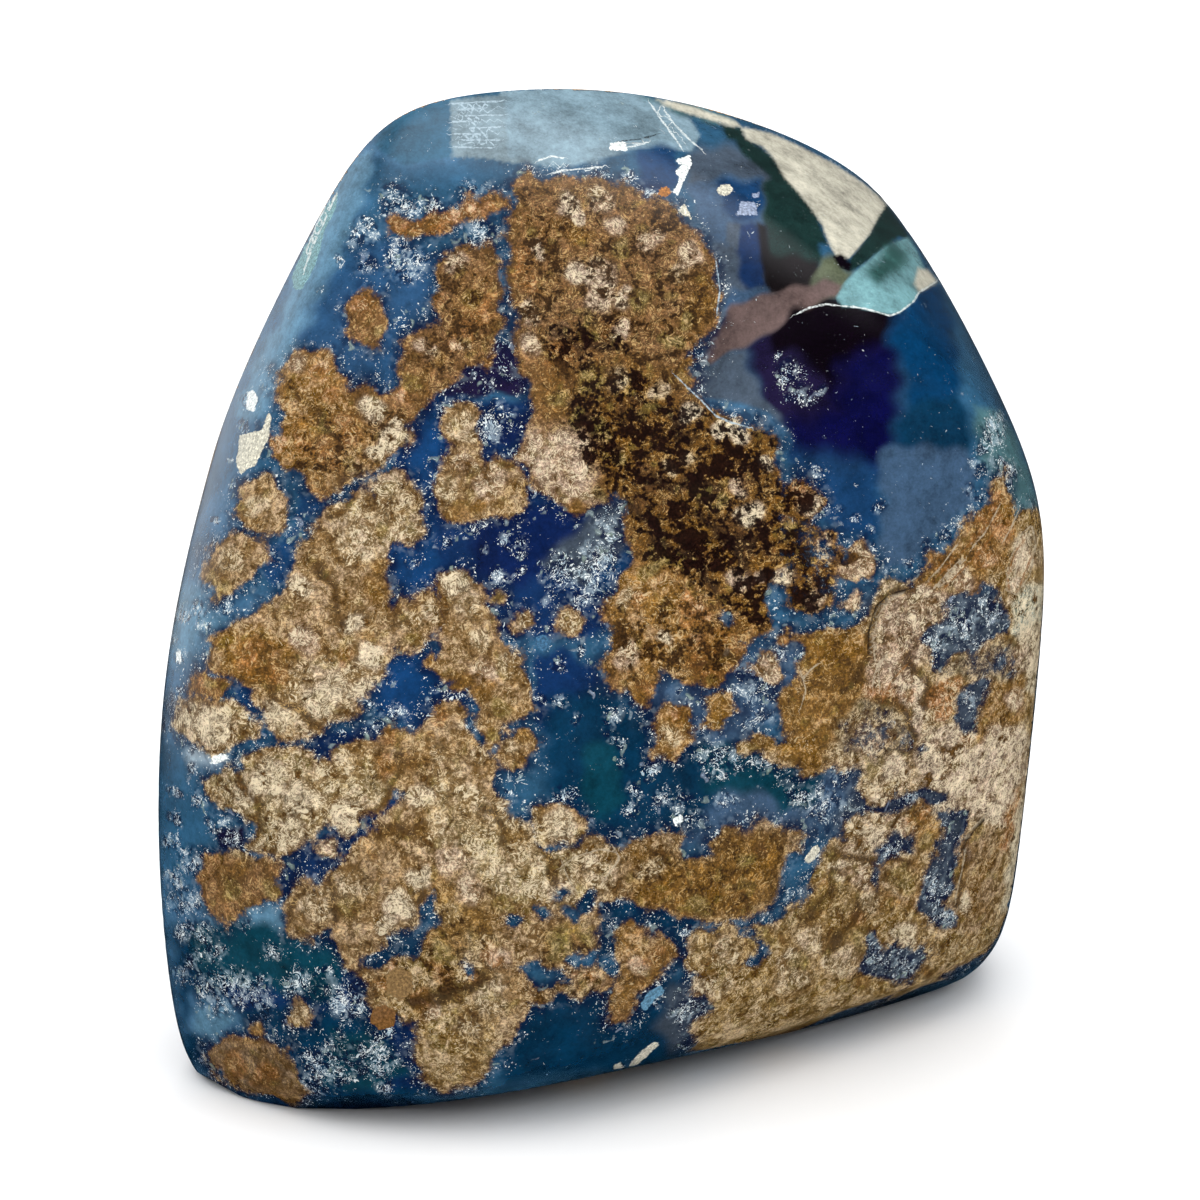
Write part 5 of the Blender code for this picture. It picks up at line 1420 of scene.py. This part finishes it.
def build_crystals():
    """One crust: a quartz layer on the hollow's wall, and on it crystals with flat faces and pointed ends."""
    rng = np.random.default_rng(CRYSTAL_SEED)
    shape = bmesh.new()
    height = shape.verts.layers.float.new("height")
    shade = shape.verts.layers.float.new("shade")
    steps = 104
    rings_out = [0.0] + [k / 20 for k in range(1, 20)]

    def ring_of(inset, drop):
        rings = []
        for inward in rings_out:
            ring = []
            for i in range(steps):
                point = hollow_point(full_turn(i, steps), inward, inset)
                if inward == 0.0:
                    point = point - SAWN_NORMAL * drop
                ring.append(shape.verts.new(point))
                ring[-1][height] = inward
            rings.append(ring)
        end = shape.verts.new(hollow_point(0.0, 1.0, inset))
        end[height] = 1.0
        return rings, end

    outer, outer_end = ring_of(FIT_GAP, RIM_DROP)
    inner, inner_end = ring_of(QUARTZ_LAYER, RIM_DROP + 0.1)
    for rings, end in ((outer, outer_end), (inner, inner_end)):
        for ring, following in zip(rings, rings[1:]):
            for i in range(steps):
                j = (i + 1) % steps
                shape.faces.new((ring[i], ring[j], following[j], following[i]))
        for i in range(steps):
            shape.faces.new((rings[-1][i], rings[-1][(i + 1) % steps], end))
    for i in range(steps):
        j = (i + 1) % steps
        shape.faces.new((outer[0][i], outer[0][j], inner[0][j], inner[0][i]))
    bmesh.ops.recalc_face_normals(shape, faces=shape.faces[:])
    for face in shape.faces:
        face.material_index = 1
    for angle, inward, size in crystal_sites(rng):
        foot = hollow_point(angle, inward, QUARTZ_LAYER)
        lean = Vector(rng.normal(0, 0.20, 3))
        axis = (wall_normal(angle, inward, QUARTZ_LAYER) + SAWN_NORMAL * 0.22 + lean).normalized()
        tall = rng.uniform(*CRYSTAL_TALL) * min(1.0, 0.30 + 2.6 * inward) * (size / 3.3) ** 0.5
        wide = size * rng.uniform(0.54, 0.66)
        side = axis.cross(Vector((0.3, 0.2, 0.9))).normalized()
        other = axis.cross(side)
        spin = rng.uniform(0, math.pi / 3)
        widths = rng.uniform(0.82, 1.12, 6)
        point_tall = min(wide * rng.uniform(1.05, 1.5), tall * 0.85)
        lower, upper = [], []
        for k in range(6):
            turn = spin + k * math.pi / 3
            out = (side * math.cos(turn) + other * math.sin(turn)) * wide * widths[k]
            lower.append(shape.verts.new(foot + out * 1.05 - axis * 1.6))
            shoulder = tall - point_tall + rng.uniform(-0.25, 0.25)
            upper.append(shape.verts.new(foot + out + axis * shoulder))
        tip = shape.verts.new(foot + axis * tall + side * rng.uniform(-0.22, 0.22) * wide + other * rng.uniform(-0.22, 0.22) * wide)
        depth = rng.uniform(0.0, 1.0)
        for vertex in lower + upper + [tip]:
            vertex[shade] = depth
        for vertex in upper:
            vertex[height] = 0.55
        tip[height] = 1.0
        for k in range(6):
            j = (k + 1) % 6
            shape.faces.new((lower[k], lower[j], upper[j], upper[k]))
            shape.faces.new((upper[k], upper[j], tip))
        shape.faces.new(lower[::-1])
    return shape


# ---------------------------------------------------------------- building
def make_object(name, shape, materials, angle=None):
    bmesh.ops.scale(shape, vec=(MM, MM, MM), verts=shape.verts)
    mesh = bpy.data.meshes.new(name)
    shape.to_mesh(mesh)
    shape.free()
    for material in materials:
        mesh.materials.append(material)
    if angle is not None:
        mesh.shade_smooth()
        mesh.set_sharp_from_angle(angle=math.radians(angle))
    made = bpy.data.objects.new(name, mesh)
    bpy.context.scene.collection.objects.link(made)
    return made


stone_shape = build_skin()
open_hollow(stone_shape)
bmesh.ops.triangulate(stone_shape, faces=[face for face in stone_shape.faces if len(face.verts) > 4])
stone = make_object("geode_stone", stone_shape, [skin_material(), sawn_material()], angle=22)
paint_stone(stone.data)
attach(stone, "root")
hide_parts("agate_stone")

crystals = make_object("geode_crystals", build_crystals(), [crystal_material(), quartz_material()])
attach(crystals, "root")
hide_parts("amethyst_crystals")

# ---------------------------------------------------------------- floor, light and camera
floor_mesh = bpy.data.meshes.new("studio_floor")
FLOOR_HALF = 4.0
floor_mesh.from_pydata(
    [(-FLOOR_HALF, -FLOOR_HALF, 0), (FLOOR_HALF, -FLOOR_HALF, 0), (FLOOR_HALF, FLOOR_HALF, 0), (-FLOOR_HALF, FLOOR_HALF, 0)],
    [],
    [(0, 1, 2, 3)],
)
floor_mesh.materials.append(floor_material())
floor = bpy.data.objects.new("studio_floor", floor_mesh)
floor.location.z = -0.0002
bpy.context.scene.collection.objects.link(floor)
# The dark side of the studio, not the pale floor, is what the polished front mirrors.
floor.visible_glossy = False


def soft_light(name, azimuth, elevation, distance, size, power, colour=(1.0, 1.0, 1.0), aim=(0.0, 0.0, 0.07)):
    data = bpy.data.lights.new(name, "AREA")
    data.shape = "RECTANGLE"
    data.size = size[0]
    data.size_y = size[1]
    data.energy = power
    data.color = colour
    lamp = bpy.data.objects.new(name, data)
    lamp.location = Vector(aim) + Vector(direction(azimuth, elevation)) * distance
    lamp.rotation_euler = (Vector(aim) - lamp.location).to_track_quat("-Z", "Y").to_euler()
    bpy.context.scene.collection.objects.link(lamp)
    return lamp


key = soft_light("key", -40, 38, 1.0, (0.9, 0.9), 2.3)
key.visible_glossy = False
fill = soft_light("fill", 35, 25, 1.2, (1.0, 1.0), 2.9)
fill.visible_glossy = False
glint = soft_light("glint", 152, 14, 1.2, (0.22, 0.22), 1.3)
glint.visible_camera = False
ceiling_data = bpy.data.lights.new("ceiling", "SUN")
ceiling_data.energy = 3.3
ceiling_data.angle = math.radians(120)
ceiling = bpy.data.objects.new("ceiling", ceiling_data)
bpy.context.scene.collection.objects.link(ceiling)
ceiling.visible_glossy = False

world = bpy.data.worlds.new("studio")
world.use_nodes = True
sky = world.node_tree
compass = sky.nodes.new("ShaderNodeTexCoord")
parts = sky.nodes.new("ShaderNodeSeparateXYZ")
sky.links.new(compass.outputs["Generated"], parts.inputs[0])
# The studio is bright overhead and behind the stone on its left, and dark around the camera.


def sky_ramp(socket, low, high, to_low, to_high):
    node = sky.nodes.new("ShaderNodeMapRange")
    node.interpolation_type = "SMOOTHSTEP"
    node.inputs["From Min"].default_value = low
    node.inputs["From Max"].default_value = high
    node.inputs["To Min"].default_value = to_low
    node.inputs["To Max"].default_value = to_high
    sky.links.new(socket, node.inputs["Value"])
    return node.outputs["Result"]


def sky_math(operation, first, second):
    node = sky.nodes.new("ShaderNodeMath")
    node.operation = operation
    for socket, value in zip(node.inputs, (first, second)):
        if isinstance(value, bpy.types.NodeSocket):
            sky.links.new(value, socket)
        else:
            socket.default_value = value
    return node.outputs[0]


leftward = sky_math("ADD", sky_math("MULTIPLY", parts.outputs["X"], -0.55), sky_math("MULTIPLY", parts.outputs["Y"], 0.8))
behind = sky_ramp(leftward, 0.35, 0.98, 0.03, 0.62)
behind = sky_math("MULTIPLY", behind, sky_ramp(parts.outputs["Z"], -0.32, -0.08, 0.0, 1.0))
overhead = sky_ramp(parts.outputs["Z"], 0.80, 0.97, 0.0, 1.3)
both = sky_math("ADD", behind, overhead)
backdrop = sky.nodes["Background"]
backdrop.inputs["Color"].default_value = (0.97, 0.98, 1.0, 1.0)
sky.links.new(both, backdrop.inputs["Strength"])
bpy.context.scene.world = world

camera_data = bpy.data.cameras.new("camera")
camera_data.lens = LENS
camera_data.sensor_width = SENSOR
camera_data.clip_end = 20.0
camera = bpy.data.objects.new("camera", camera_data)
camera.location = Vector(EYE)
camera.rotation_euler = Vector(FORWARD).to_track_quat("-Z", "Y").to_euler()
bpy.context.scene.collection.objects.link(camera)
bpy.context.scene.camera = camera
bpy.context.scene.view_settings.view_transform = "Standard"
